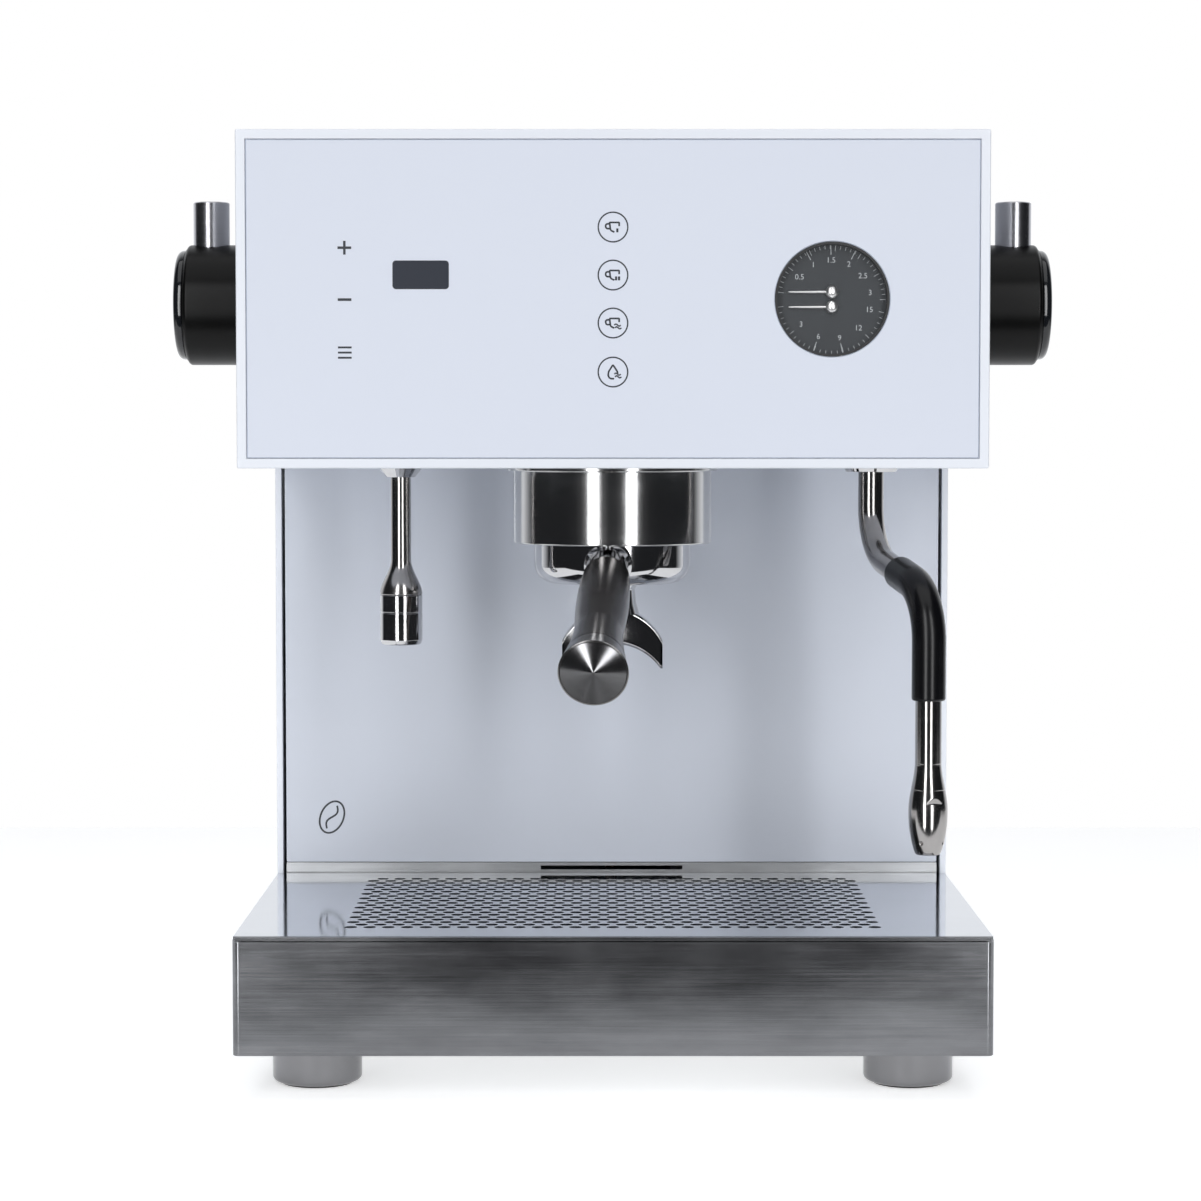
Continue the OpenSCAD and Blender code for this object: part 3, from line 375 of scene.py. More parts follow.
def fitted(piece: Object, body: str, slot: str, *stands_for: str) -> Object:
    """Hang a piece on its body and hide the nodes that it stands for."""
    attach(piece, body)
    if stands_for:
        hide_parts(*stands_for)
    LOG.info("%s rides on %s, %d faces", piece.name, body, len(piece.data.polygons))
    return piece


# ---------------------------------------------------------------- shader graph

class Level:
    """A number that changes over a surface. Arithmetic on it adds Math nodes."""

    def __init__(self, graph: "Graph", socket: NodeSocket) -> None:
        """Wrap a socket of a graph."""
        self.graph, self.socket = graph, socket

    def _math(self, operation: str, *values: Any) -> "Level":
        """Add one Math node with these inputs."""
        node = self.graph.node("ShaderNodeMath", {"operation": operation}, dict(enumerate(values)))
        return Level(self.graph, node.outputs[0])

    def __add__(self, other: Any) -> "Level":
        """This plus another."""
        return self._math("ADD", self, other)

    __radd__ = __add__

    def __sub__(self, other: Any) -> "Level":
        """This less another."""
        return self._math("SUBTRACT", self, other)

    def __rsub__(self, other: Any) -> "Level":
        """Another less this."""
        return self._math("SUBTRACT", other, self)

    def __mul__(self, other: Any) -> "Level":
        """This times another."""
        return self._math("MULTIPLY", self, other)

    __rmul__ = __mul__

    def __truediv__(self, other: Any) -> "Level":
        """This divided by another."""
        return self._math("DIVIDE", self, other)

    def __pow__(self, other: Any) -> "Level":
        """This to a power."""
        return self._math("POWER", self, other)

    def sine(self) -> "Level":
        """The sine of this."""
        return self._math("SINE", self)

    def span(self, low: float, high: float) -> "Level":
        """0 below low, 1 above high and a smooth rise between."""
        node = self.graph.node(
            "ShaderNodeMapRange", {"interpolation_type": "SMOOTHSTEP"},
            {"Value": self, "From Min": low, "From Max": high})
        return Level(self.graph, node.outputs[0])


class Graph:
    """The node tree of one finish."""

    def __init__(self, name: str) -> None:
        """Make a material with a bare Principled shader."""
        self.material = bpy.data.materials.new(name)
        self.material.use_nodes = True
        self.tree = self.material.node_tree
        self.tree.nodes.clear()
        self.shader = self.node("ShaderNodeBsdfPrincipled")
        self.node("ShaderNodeOutputMaterial", {}, {"Surface": self.shader.outputs[0]})

    def node(self, kind: str, settings: Optional[Dict[str, Any]] = None,
             inputs: Optional[Dict[Any, Any]] = None) -> Node:
        """Add any node.

        Args:
            kind: its Blender type.
            settings: its properties, set first; "stops" are a ramp's.
            inputs: values, sockets or levels by socket name or number.

        Returns:
            The node.
        """
        made = self.tree.nodes.new(kind)
        for key, value in (settings or {}).items():
            if key == "stops":
                ramp = made.color_ramp.elements
                for i, (place, colour) in enumerate(value):
                    stop = ramp[i] if i < len(ramp) else ramp.new(place)
                    stop.position, stop.color = place, (*colour, 1)
            else:
                setattr(made, key, value)
        for key, value in (inputs or {}).items():
            if isinstance(value, Level):
                value = value.socket
            if isinstance(value, NodeSocket):
                self.tree.links.new(value, made.inputs[key])
            else:
                made.inputs[key].default_value = value
        return made

    def local(self, centre: Sequence[float] = (0, 0, 0), size: Sequence[float] = (1, 1, 1),
              turn: Sequence[float] = (0, 0, 0)) -> NodeSocket:
        """Object coordinates about a centre in metres, turned, with each axis divided by a size."""
        source = self.node("ShaderNodeTexCoord")
        return self.node(
            "ShaderNodeMapping", {"vector_type": "TEXTURE"},
            {"Vector": source.outputs["Object"], "Location": tuple(centre), "Rotation": tuple(turn),
             "Scale": tuple(size)}).outputs[0]

    def noise(self, where: NodeSocket, scale: float = 1, detail: float = 3, rough: float = 0.5) -> Level:
        """Cloudy noise from 0 to 1."""
        node = self.node("ShaderNodeTexNoise", {}, {"Vector": where, "Scale": scale, "Detail": detail,
                                                    "Roughness": rough})
        return Level(self, node.outputs[0])

    def parts(self, vector: NodeSocket) -> Tuple[Level, Level, Level]:
        """The three coordinates of a vector."""
        node = self.node("ShaderNodeSeparateXYZ", {}, {0: vector})
        return Level(self, node.outputs[0]), Level(self, node.outputs[1]), Level(self, node.outputs[2])

    def blend(self, share: Level, first: Colour, second: Any) -> NodeSocket:
        """A colour between two: the first where the share is 0."""
        second = (*second, 1) if isinstance(second, tuple) else second
        node = self.node("ShaderNodeMix", {"data_type": "RGBA"}, {0: share, 6: (*first, 1), 7: second})
        return node.outputs[2]

    def relief(self, height: Level, depth: float, under: Optional[NodeSocket] = None) -> NodeSocket:
        """A bump whose height is in metres times the level."""
        inputs: Dict[Any, Any] = {"Height": height, "Distance": depth, "Strength": 1.0}
        if under is not None:
            inputs["Normal"] = under
        return self.node("ShaderNodeBump", {}, inputs).outputs[0]

    def finish(self, **sockets: Any) -> Material:
        """Set the shader's sockets, with spaces for underscores, and return the material."""
        for key, value in sockets.items():
            name = key.replace("_", " ")
            if isinstance(value, Level):
                value = value.socket
            if isinstance(value, NodeSocket):
                self.tree.links.new(value, self.shader.inputs[name])
            else:
                self.shader.inputs[name].default_value = (*value, 1) if isinstance(value, tuple) else value
        return self.material


# ---------------------------------------------------------------- finishes

class Grain(Enum):
    """Which way a brushed finish runs."""

    ACROSS = (0.07, 0.0005, 0.0005)
    BACK = (0.0005, 0.07, 0.0005)
    UP = (0.0005, 0.0005, 0.07)


@dataclass(frozen=True)
class Coated:
    """White paint or back-printed glass: a faint cloudiness, soft orange peel and a clear coat."""

    name: str
    light: Colour
    shade: Colour
    rough: float
    coat: float
    peel: float = 0.00002

    def build(self) -> Material:
        """Colour and roughness follow wide noise, and the relief follows fine noise."""
        graph = Graph(self.name)
        where = graph.local()
        cloud = graph.noise(where, 14, 4)
        fine = graph.noise(where, 900, 2)
        wipe = graph.noise(graph.local(size=(0.11, 0.05, 0.03)), 1, 5, 0.6)
        return graph.finish(
            Base_Color=graph.blend(cloud, self.light, self.shade),
            Roughness=self.rough + 0.10 * (wipe - 0.42) * (fine * 0.6 + 0.7),
            Normal=graph.relief(fine, self.peel),
            Coat_Weight=self.coat, Coat_Roughness=0.04)


@dataclass(frozen=True)
class Brushed:
    """Brushed sheet steel: fine lines one way, with smudges where it is wiped."""

    name: str
    grain: Grain
    light: Colour = (0.66, 0.67, 0.69)
    shade: Colour = (0.47, 0.48, 0.50)
    rough: float = 0.3
    smudge: float = 0.12
    lines: float = 0.000008

    def build(self) -> Material:
        """Noise stretched along the grain drives colour, roughness and relief; wide noise smudges it."""
        graph = Graph(self.name)
        hair = graph.noise(graph.local(size=self.grain.value), 1, 3, 0.65)
        broad = tuple(6 * size if size < 0.01 else size * 1.6 for size in self.grain.value)
        band = graph.noise(graph.local(size=broad), 1, 3, 0.6)
        wide = graph.noise(graph.local(size=(0.07, 0.05, 0.024)), 1, 4, 0.6)
        streak = (hair * 0.3 + band * 0.25 + wide * 0.75).span(0.3, 1.0)
        return graph.finish(
            Base_Color=graph.blend(streak, self.shade, self.light),
            Metallic=1.0,
            Roughness=self.rough + self.smudge * (wide - 0.5) + 0.10 * (hair - 0.5),
            Normal=graph.relief(hair + band * 1.4, self.lines))


@dataclass(frozen=True)
class Polished:
    """Chrome or mirror-polished steel: faint hairlines and finger marks."""

    name: str
    light: Colour = (0.62, 0.62, 0.63)
    shade: Colour = (0.50, 0.50, 0.51)
    rough: float = 0.06
    smudge: float = 0.07

    def build(self) -> Material:
        """Wide noise makes the smudges, and stretched noise the hairlines."""
        graph = Graph(self.name)
        wide = graph.noise(graph.local(size=(0.03, 0.03, 0.018)), 1, 5, 0.6)
        hair = graph.noise(graph.local(size=(0.0009, 0.0009, 0.05)), 1, 2)
        return graph.finish(
            Base_Color=graph.blend(wide * 0.7 + hair * 0.3, self.shade, self.light),
            Metallic=1.0,
            Roughness=self.rough + self.smudge * wide.span(0.5, 0.8) + 0.02 * hair,
            Normal=graph.relief(hair + wide, 0.000004))


@dataclass(frozen=True)
class Turned:
    """Lathe-turned steel: fine rings about an axis."""

    name: str
    centre: Tuple[float, float, float]
    turn: Tuple[float, float, float] = (0.0, 0.0, 0.0)
    light: Colour = (0.62, 0.62, 0.63)
    shade: Colour = (0.42, 0.42, 0.43)
    rough: float = 0.22
    pitch: float = 0.00045
    depth: float = 0.00001
    rings: float = 0.0

    def build(self) -> Material:
        """Noise of the distance from the axis and along it makes the rings."""
        graph = Graph(self.name)
        where = graph.local(self.centre, (1, 1, 1), self.turn)
        x, y, z = graph.parts(where)
        radius = (x * x + y * y) ** 0.5
        ring = graph.node("ShaderNodeCombineXYZ", {}, {0: radius / self.pitch, 1: z / self.pitch, 2: 0.0})
        groove = graph.noise(ring.outputs[0], 1, 2, 0.6)
        wide = graph.noise(graph.local(size=(0.014, 0.014, 0.014)), 1, 4)
        height = groove
        if self.rings:
            height = groove + self.rings * (radius * (2 * math.pi / (2.6 * self.pitch))).sine()
        return graph.finish(
            Base_Color=graph.blend(groove * 0.7 + wide * 0.3, self.shade, self.light),
            Metallic=1.0,
            Roughness=self.rough + 0.10 * (groove - 0.5) + 0.08 * (wide - 0.5),
            Normal=graph.relief(height, self.depth))


@dataclass(frozen=True)
class Moulded:
    """Plastic or rubber: a fine spark-eroded grain and slightly uneven gloss."""

    name: str
    light: Colour
    shade: Colour
    rough: float
    grain: float = 0.00002
    scale: float = 1600
    coat: float = 0.0
    shine: float = 0.5

    def build(self) -> Material:
        """Fine noise makes the grain; wide noise changes colour and gloss a little."""
        graph = Graph(self.name)
        where = graph.local()
        fine = graph.noise(where, self.scale, 3)
        wide = graph.noise(where, 45, 4)
        return graph.finish(
            Base_Color=graph.blend(wide * 0.7 + fine * 0.3, self.shade, self.light),
            Roughness=self.rough + 0.12 * (wide - 0.5) + 0.05 * (fine - 0.5),
            Normal=graph.relief(fine, self.grain), Specular_IOR_Level=self.shine,
            Coat_Weight=self.coat, Coat_Roughness=0.05)


@dataclass(frozen=True)
class Clear:
    """Clear plastic or glass that is mostly seen through."""

    name: str
    tint: Colour
    solid: float
    rough: float

    def build(self) -> Material:
        """A little haze follows wide noise."""
        graph = Graph(self.name)
        haze = graph.noise(graph.local(), 30, 4)
        return graph.finish(
            Base_Color=graph.blend(haze, self.tint, tuple(0.9 * part for part in self.tint)),
            Alpha=self.solid * (0.9 + 0.2 * haze),
            Roughness=self.rough + 0.06 * haze, IOR=1.49)


@dataclass(frozen=True)
class Board:
    """A circuit board: green lacquer over fine copper tracks."""

    name: str

    def build(self) -> Material:
        """Square cells stand for tracks under the lacquer."""
        graph = Graph(self.name)
        where = graph.local(size=(0.004, 0.004, 0.0025))
        cell = graph.node("ShaderNodeTexVoronoi", {"distance": "CHEBYCHEV"}, {"Vector": where})
        track = Level(graph, cell.outputs[0]).span(0.35, 0.45)
        return graph.finish(
            Base_Color=graph.blend(track, (0.02, 0.13, 0.06), (0.04, 0.22, 0.10)),
            Roughness=0.35 + 0.1 * track, Coat_Weight=0.6,
            Normal=graph.relief(track, 0.00003))


# ---------------------------------------------------------------- casing

@dataclass
class Casing:
    """The white sheet-metal body, its glossy backsplash and its feet."""

    panel_t: float = 3.0
    splash_depth: float = 200.2
    foot_r: float = 20.0
    foot_h: float = 20.0

    def side_panel(self, side: int, paint: Material) -> Object:
        """A C-shaped panel: a rounded outline in the upright plane along the machine.

        Args:
            side: -1 for the left, 1 for the right.
            paint: its finish.

        Returns:
            The piece.
        """
        name = "side_panel_right" if side > 0 else "side_panel_left"
        back = (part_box(name)[1].y - FRONT_Y) / MM
        front, box_front, bay = 26.6, 46.1, 199.0
        low = BASE_TOP - PLATE_T
        outline = rounded([
            (front, BASE_LOW, 1.0), (back, BASE_LOW, 1.0), (back, BODY_TOP, 1.0), (box_front, BODY_TOP, 0.5),
            (box_front, BOX_LOW, 0.5), (bay, BOX_LOW, 0.5), (bay, low, 0.5), (front, low, 0.5)])
        place = Place(spot(0, 0, 0), Y_AXIS, Z_AXIS, X_AXIS)
        inner = side * (HALF_W - self.panel_t)
        low_x, high_x = min(inner, side * HALF_W), max(inner, side * HALF_W)
        shape = Shape().slab(place, outline, low_x, high_x, 0.35)
        return fitted(shape.made(f"{name}_cover", [paint]), "casing", "white_paint", name)

    def backsplash(self, gloss: Material) -> Object:
        """A glossy plate with finely rounded edges. Its white is darker than the panel's: painted shade for the
        recess under the box.
        """
        low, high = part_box("backsplash")
        half = high.x / MM
        outline = box_outline((-half, low.z / MM), (half, high.z / MM), 0.8)
        depth = (high.y - FRONT_Y) / MM
        thick = (high.y - low.y) / MM
        shape = Shape().slab(facing(0, depth, 0), outline, 0, thick, 0.4)
        return fitted(shape.made("backsplash_plate", [gloss]), "casing", "white_gloss", "backsplash")

    def emblem(self, ink: Material) -> Object:
        """A coffee bean: an oval line about a curved crease."""
        place = facing(-138, self.splash_depth, 99.5)
        half_w, half_h, lean = 5.6, 8.2, math.radians(24)
        turn = full_turn(72)
        oval = np.stack([half_w * np.cos(turn), half_h * np.sin(turn)], 1)
        t = np.linspace(-1, 1, 25)
        crease = np.stack([1.5 * np.sin(math.pi * t), (half_h - 2) * t], 1)
        swing = np.array([[math.cos(lean), math.sin(lean)], [-math.sin(lean), math.cos(lean)]])
        line, thick = 0.9, 0.05
        shape = Shape().stroke(place, oval @ swing.T, line, thick, closed=True)
        shape.stroke(place, crease @ swing.T, line, thick)
        return fitted(shape.made("bean_emblem", [ink]), "casing", "white_gloss")

    def feet(self, steel: Material) -> Object:
        """Four turned feet with a rounded lower edge and a socket for the pad."""
        r, edge = self.foot_r, 2.4
        socket_r, socket_top = r - 3.9, 2.6
        profile = rounded([
            (0, self.foot_h, 0), (r, self.foot_h, 0.4), (r, 1, edge), (socket_r, 1, 0.3),
            (socket_r, socket_top, 0), (0, socket_top, 0)], closed=False, steps=6)
        shape = Shape()
        low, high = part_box("feet")
        left, right = low.x / MM + r, high.x / MM - r
        near, far = (low.y - FRONT_Y) / MM + r, (high.y - FRONT_Y) / MM - r
        for x, depth in ((left, near), (right, near), (left, far), (right, far)):
            shape.turn(upright(x, depth, 0), profile)
        return fitted(shape.made("turned_feet", [steel]), "casing", "steel_turned", "feet")

    def build(self, stock: Dict[str, Material]) -> None:
        """Make the casing's pieces."""
        for side in (-1, 1):
            self.side_panel(side, stock["paint"])
        self.backsplash(stock["recess_shaded_white"])
        self.emblem(stock["ink"])
        self.feet(stock["foot_steel"])


# ---------------------------------------------------------------- control panel

@dataclass
class ControlPanel:
    """The white frame, the printed glass with its marks, and the twin gauge."""

    border: float = 4.3
    frame_depth: float = 31.5
    frame_back: float = 45.5
    glass_depth: float = 31.9
    glass_t: float = 4.0
    gauge_x: float = 96.0
    gauge_r: float = 25.1
    dial_depth: float = 37.4
    pivot_off: float = 3.3

    def ring(self, half_w: float, half_h: float, radius: float) -> Array:
        """A rounded rectangle about the panel's centre, with the same number of points for any size."""
        return box_outline((-half_w, AXIS_Z - half_h), (half_w, AXIS_Z + half_h), radius)

    def surround(self, paint: Material) -> Object:
        """A frame: a rounded section carried round a rectangle.

        A section point lies a distance in from the outer edge and at a depth;
        its ring is the outer rectangle shrunk by that distance.
        """
        b, half_h = self.border, (BODY_TOP - BOX_LOW) / 2
        section = rounded([
            (0, self.frame_depth, 0.7), (b, self.frame_depth, 0.45), (b, self.frame_back, 0.1),
            (0, self.frame_back, 0.3)])
        rows = []
        for inward, depth in section:
            ring = self.ring(HALF_W - inward, half_h - inward, max(1.0 - inward * 0.8, 0.12))
            rows.append(np.column_stack([ring[:, 0], np.full(len(ring), depth), ring[:, 1]]))
        shape = Shape().grid(upright().put(np.stack(rows)), closed_rows=True)
        return fitted(shape.made("panel_surround", [paint]), "casing", "white_paint", "front_frame")

    def glass(self, printed: Material, edge_tint: Material) -> Object:
        """The glass: every ray from the gauge's centre runs from the round hole to the rectangle.

        A row is one step along the glass's section: up the hole's wall, over a
        small bevel, across the front, over the outer bevel, down and back.
        """
        gap = 0.15
        half_w = HALF_W - self.border - gap
        half_h = (BODY_TOP - BOX_LOW) / 2 - self.border - gap
        low = np.array([-half_w - self.gauge_x, -half_h])
        high = np.array([half_w - self.gauge_x, half_h])
        corner = np.array([[high[0], high[1]], [low[0], high[1]], [low[0], low[1]], [high[0], low[1]]])
        angle = np.concatenate([full_turn(240),
                                np.arctan2(corner[:, 1], corner[:, 0]) % (2 * math.pi)])
        angle = np.unique(np.round(angle, 9))
        ray = np.stack([np.cos(angle), np.sin(angle)], 1)
        reach = np.where(ray > 0, high, -low) / np.maximum(np.abs(ray), 1e-9)
        outer = ray * reach.min(1, keepdims=True)
        bevel = 0.45

        def row(is_hole: bool, inward: float, lift: float) -> Array:
            """One row: the hole's circle grown, or the rectangle shrunk, at a lift off the back."""
            flat = ray * (self.gauge_r + inward) if is_hole else np.clip(outer, low + inward, high - inward)
            return np.column_stack([flat, np.full(len(flat), lift)])

        t = self.glass_t
        place = facing(self.gauge_x, self.glass_depth + t, AXIS_Z)
        front = [row(True, bevel, t), row(False, bevel, t)]
        edge = [row(False, bevel, t), row(False, 0, t - bevel), row(False, 0, 0.2), row(False, 0.2, 0),
                row(True, 0.2, 0), row(True, 0, 0.2), row(True, 0, t - bevel), row(True, bevel, t)]
        shape = Shape().grid(place.put(np.stack(front)))
        shape.grid(place.put(np.stack(edge)), finish=1)
        piece = shape.made("printed_glass", [printed, edge_tint], sharp=20)
        return fitted(piece, "casing", "white_glass", "front_glass")

    def marks(self, ink: Material) -> Object:
        """Printed plus, minus and three bars, and four ringed signs: one cup, two cups, flush and water."""
        thick, over = 0.05, 0.06          # a line that crosses another stands a little higher
        line, sign, ring_r = 0.85, 0.75, 6.45
        shape = Shape()
        left = facing(-117.4, self.glass_depth, 0)
        bar = np.array([[-3.0, 0.0], [3.0, 0.0]])
        plus, minus, menu = 370.4, 347.8, 324.7
        shape.stroke(left, bar + [0, plus], line + 0.25, thick)
        shape.stroke(left, bar[:, ::-1] + [0, plus], line + 0.25, over)
        shape.stroke(left, bar + [0, minus], line + 0.3, thick)
        for step in (-2.25, 0, 2.25):
            shape.stroke(left, bar + [0, menu + step], line, thick)
        turn = full_turn(64)
        circle = np.stack([np.cos(turn), np.sin(turn)], 1)
        cup = rounded([(2.7, 0.4, 0), (2.7, 2.0, 0.25), (-1.5, 2.0, 0.3), (-1.1, -1.4, 1.2), (0.6, -2.2, 0)],
                      closed=False)
        ear = rounded([(-1.4, 1.4, 0), (-3.3, 1.4, 0.9), (-3.1, -0.7, 0.9), (-1.2, -0.7, 0)], closed=False)
        drop = rounded([(0.5, -2.9, 0), (-2.3, -2.9, 1.6), (-1.9, 0.2, 1.5), (0, 3.2, 0.3), (1.9, 0.2, 1.0),
                        (2.1, -0.8, 0)], closed=False)
        t = np.linspace(0, 1, 9)
        wave = np.stack([0.9 + 2.8 * t, -2.1 + 0.45 * np.sin(2 * math.pi * t)], 1)
        for i, height in enumerate((379.4, 358.5, 337.6, 316.2)):
            place = facing(0, self.glass_depth, height)
            shape.stroke(place, circle * ring_r, 0.62, thick, closed=True)
            if i < 3:
                shape.stroke(place, cup, sign, thick)
                shape.stroke(place, ear, sign, over)
            else:
                shape.stroke(place, drop, sign, thick)
            if i < 2:
                for x in ((1.9,), (1.35, 2.65))[i]:
                    shape.stroke(place, np.array([[x, -2.3], [x, -0.6]]), 0.95, thick)
            else:
                shape.stroke(place, wave, 0.6, over)
                shape.stroke(place, wave + [-0.3, 1.2], 0.6, over)
        return fitted(shape.made("panel_marks", [ink]), "casing", "white_glass")

    def window(self, dark: Material, rim: Material) -> Object:
        """The dark display window: a rounded plate just proud of the glass, with a thin line round it."""
        place = facing(-84.1, self.glass_depth, 358.6)
        outline = box_outline((-12.1, -6.0), (12.1, 6.0), 1.3)
        shape = Shape().slab(place, outline, 0.0, 0.09, 0.03, steps=2)
        shape.stroke(place, box_outline((-12.2, -6.1), (12.2, 6.1), 1.4), 0.3, 0.06, closed=True, finish=1)
        return fitted(shape.made("display_window", [dark, rim]), "casing", "white_glass")

    def numeral(self, text: str, size: float, x: float, height: float) -> Array:
        """Triangles of a short number, centred on the dial.

        Args:
            text: the number.
            size: height of the font.
            x: right of the dial's centre.
            height: above it.

        Returns:
            Triangles by corners by 2, in millimetres.
        """
        curve = bpy.data.curves.new("numeral", "FONT")
        curve.body, curve.size = text, size
        curve.align_x = curve.align_y = "CENTER"
        curve.resolution_u = 3
        holder = bpy.data.objects.new("numeral", curve)
        mesh = holder.to_mesh()
        mesh.calc_loop_triangles()
        points = np.empty(len(mesh.vertices) * 3)
        mesh.vertices.foreach_get("co", points)
        corners = np.empty(len(mesh.loop_triangles) * 3, np.int32)
        mesh.loop_triangles.foreach_get("vertices", corners)
        flat = points.reshape(-1, 3)[:, :2][corners].reshape(-1, 3, 2)
        holder.to_mesh_clear()
        bpy.data.objects.remove(holder)
        bpy.data.curves.remove(curve)
        return flat + [x, height]

    def dial(self, white: Material) -> Object:
        """Printed ticks and numbers: ticks are short lines along the dial's radius."""
        place = facing(self.gauge_x, self.dial_depth, AXIS_Z)
        font, number_r, tick_r, print_t = 3.4, 17.2, 23.7, 0.04
        shape = Shape()

        def tick(degrees: float, inner: float, width: float) -> None:
            """One line along the radius at an angle, out to the ticks' own circle."""
            a = math.radians(degrees)
            ray = np.array([math.cos(a), math.sin(a)])
            shape.stroke(place, np.stack([ray * inner, ray * tick_r]), width, print_t)

        for k in range(31):
            tick(172 - k * 172 / 30, 21.2 if k % 5 == 0 else 22.2, 0.24)
        for k in range(26):
            tick(-172 + k * 158 / 25, 21.4 if k % 5 == 0 else 22.4, 0.22)
        upper = [(145 - 27 * k, text) for k, text in enumerate(("0.5", "1", "1.5", "2", "2.5", "3"))]
        lower = [(-141 + 31.5 * k, text) for k, text in enumerate(("3", "6", "9", "12", "15"))]
        for degrees, text in upper + lower:
            a = math.radians(degrees)
            if text not in ("0.5", "2.5", "3", "15", "12"):
                tick(degrees, 19.6, 0.3)
            for corner in self.numeral(text, font, number_r * math.cos(a), number_r * math.sin(a)):
                solid = np.stack([np.column_stack([corner, np.full(3, lift)]) for lift in (0.0, print_t)])
                shape.grid(place.put(solid), caps=True)
        return fitted(shape.made("dial_marks", [white]), "casing", "dial_black")

    def needle(self, up: int, bright: Material) -> Object:
        """A tapered needle that points left from a domed pivot on a thin shaft.

        The dome's radius is its base times the cosine, and its height the sine,
        of an angle from 0 to a right angle.
        """
        name = "needle_upper" if up > 0 else "needle_lower"
        place = facing(self.gauge_x, self.dial_depth - 1.4, AXIS_Z + up * self.pivot_off)
        quarter = quarter_turn(10)
        dome = np.stack([2.8 * np.cos(quarter), 0.5 + 2.1 * np.sin(quarter)], 1)
        shaft = [[0, -4.0], [0.8, -4.0], [0.8, -0.45], [2.2, -0.45], [2.8, 0.1]]
        profile = np.vstack([shaft, dome, [[0, 2.6]]])
        shape = Shape().turn(place, profile, steps=48)
        t = np.linspace(0, 1, 24)
        half = 0.56 * (1 - 0.25 * t) * np.sqrt(np.clip(1 - ((t - 0.93) / 0.07).clip(0) ** 2, 0.01, 1))
        x = -19.4 * t
        turn = full_turn(12)
        body = np.stack([x[:, None] + 0 * turn, half[:, None] * np.cos(turn),
                         0.15 + 0.3 * np.sin(turn) + 0 * t[:, None]], -1)
        shape.grid(place.put(body), caps=True)
        body_name = "upper_needle" if up > 0 else "lower_needle"
        return fitted(shape.made(f"{name}_hand", [bright]), body_name, "needle_bright", name)

    def build(self, stock: Dict[str, Material]) -> None:
        """Make the panel's pieces."""
        self.surround(stock["paint"])
        self.glass(stock["glass"], stock["glass_edge"])
        self.marks(stock["ink"])
        self.window(stock["display"], stock["ink"])
        self.dial(stock["print"])
        for up in (1, -1):
            self.needle(up, stock["needle"])


# ---------------------------------------------------------------- knobs

@dataclass
class Knob:
    """One side knob: a satin hub, a glossy domed cap and a turned steel peg."""

    side: int
    name: str
    body: str
    depth: float = KNOB_DEPTH
    hub_r: float = 27.5
    hub_l: float = 29.5
    cap_r: float = 25.0
    cap_t: float = 5.3
    peg_r: float = 8.25
    peg_out: float = PEG_OUT
    peg_up: float = 19.5

    def hub(self, satin: Material) -> Object:
        """A turned hub with a rounded outer edge and a shallow step under the cap."""
        place = sideways(self.side, self.side * (HALF_W + KNOB_GAP), self.depth, AXIS_Z)
        r, l = self.hub_r, self.hub_l
        profile = rounded([
            (0, 0, 0), (r - 0.2, 0, 0.6), (r, 3, 4), (r, l - 1.2, 1.8), (self.cap_r + 0.9, l - 0.35, 0.3),
            (self.cap_r + 0.6, l, 0.1), (0, l, 0)], closed=False, steps=6)
        shape = Shape().turn(place, profile, 128)
        return fitted(shape.made(f"{self.name}_hub", [satin]), self.body, "black_satin", self.name)

    def cap(self, gloss: Material) -> Object:
        """A low dome: the face bulges by the square of the radius, and the edge is a wide round."""
        l, r, t = self.hub_l, self.cap_r, self.cap_t
        place = sideways(self.side, self.side * (HALF_W + KNOB_GAP), self.depth, AXIS_Z)
        edge = rounded([
            (r - 0.4, l - 0.05, 0), (r, l + 0.4, 0.4), (r - 0.1, l + t - 1.3, 2.9), (r - 4.4, l + t - 1.0, 2)],
            closed=False, steps=8)
        inner = np.linspace(r - 4.6, 0, 12)
        face = np.stack([inner, l + t - 0.98 * (inner / (r - 4.6)) ** 2], 1)
        profile = np.vstack([[[0, l - 0.05]], edge[:-1], face])
        shape = Shape().turn(place, profile, 128)
        return fitted(shape.made(f"{self.name}_dome", [gloss]), self.body, "black_gloss", f"{self.name}_cap")

    def peg(self, steel: Material) -> Object:
        """A turned steel rod with a small bevel and a faint dish in its end."""
        low, high = self.hub_r - 8, self.hub_r + self.peg_up
        place = upright(self.side * (HALF_W + self.peg_out), self.depth, AXIS_Z)
        r = self.peg_r
        profile = rounded([
            (0, low, 0), (r, low, 0), (r, high - 0.5, 0.2), (r - 0.6, high, 0.2), (0, high - 0.15, 0)],
            closed=False, steps=4)
        shape = Shape().turn(place, profile, 96)
        return fitted(shape.made(f"{self.name}_rod", [steel]), self.body, "steel_turned", f"{self.name}_peg")

    def build(self, stock: Dict[str, Material]) -> None:
        """Make the knob's pieces."""
        self.hub(stock["satin"])
        self.cap(stock["knob_gloss"])
        self.peg(stock["peg_left" if self.side < 0 else "peg_right"])


# ---------------------------------------------------------------- group and portafilter

@dataclass
class Group:
    """The polished cover over the group and the flange that holds it."""

    radius: float = 45.7
    bore: float = 43.9
    low: float = 238.5
    flange: float = 48.5

    def build(self, stock: Dict[str, Material]) -> None:
        """A turned sleeve with rounded rims and a thin flange under the box."""
        top = BOX_LOW - 0.1
        profile = rounded([
            (self.bore, self.low, 0.3), (self.radius, self.low, 0.7), (self.radius, top - 1.9, 0.3),
            (self.flange, top - 1.9, 0.4), (self.flange, top, 0.4), (self.bore, top, 0)], steps=5)
        shape = Shape().turn(upright(0, GROUP_DEPTH, 0), profile, 160, closed=True)
        fitted(shape.made("group_sleeve", [stock["cover_polish"]]), "casing", "steel_polished", "group_cover")


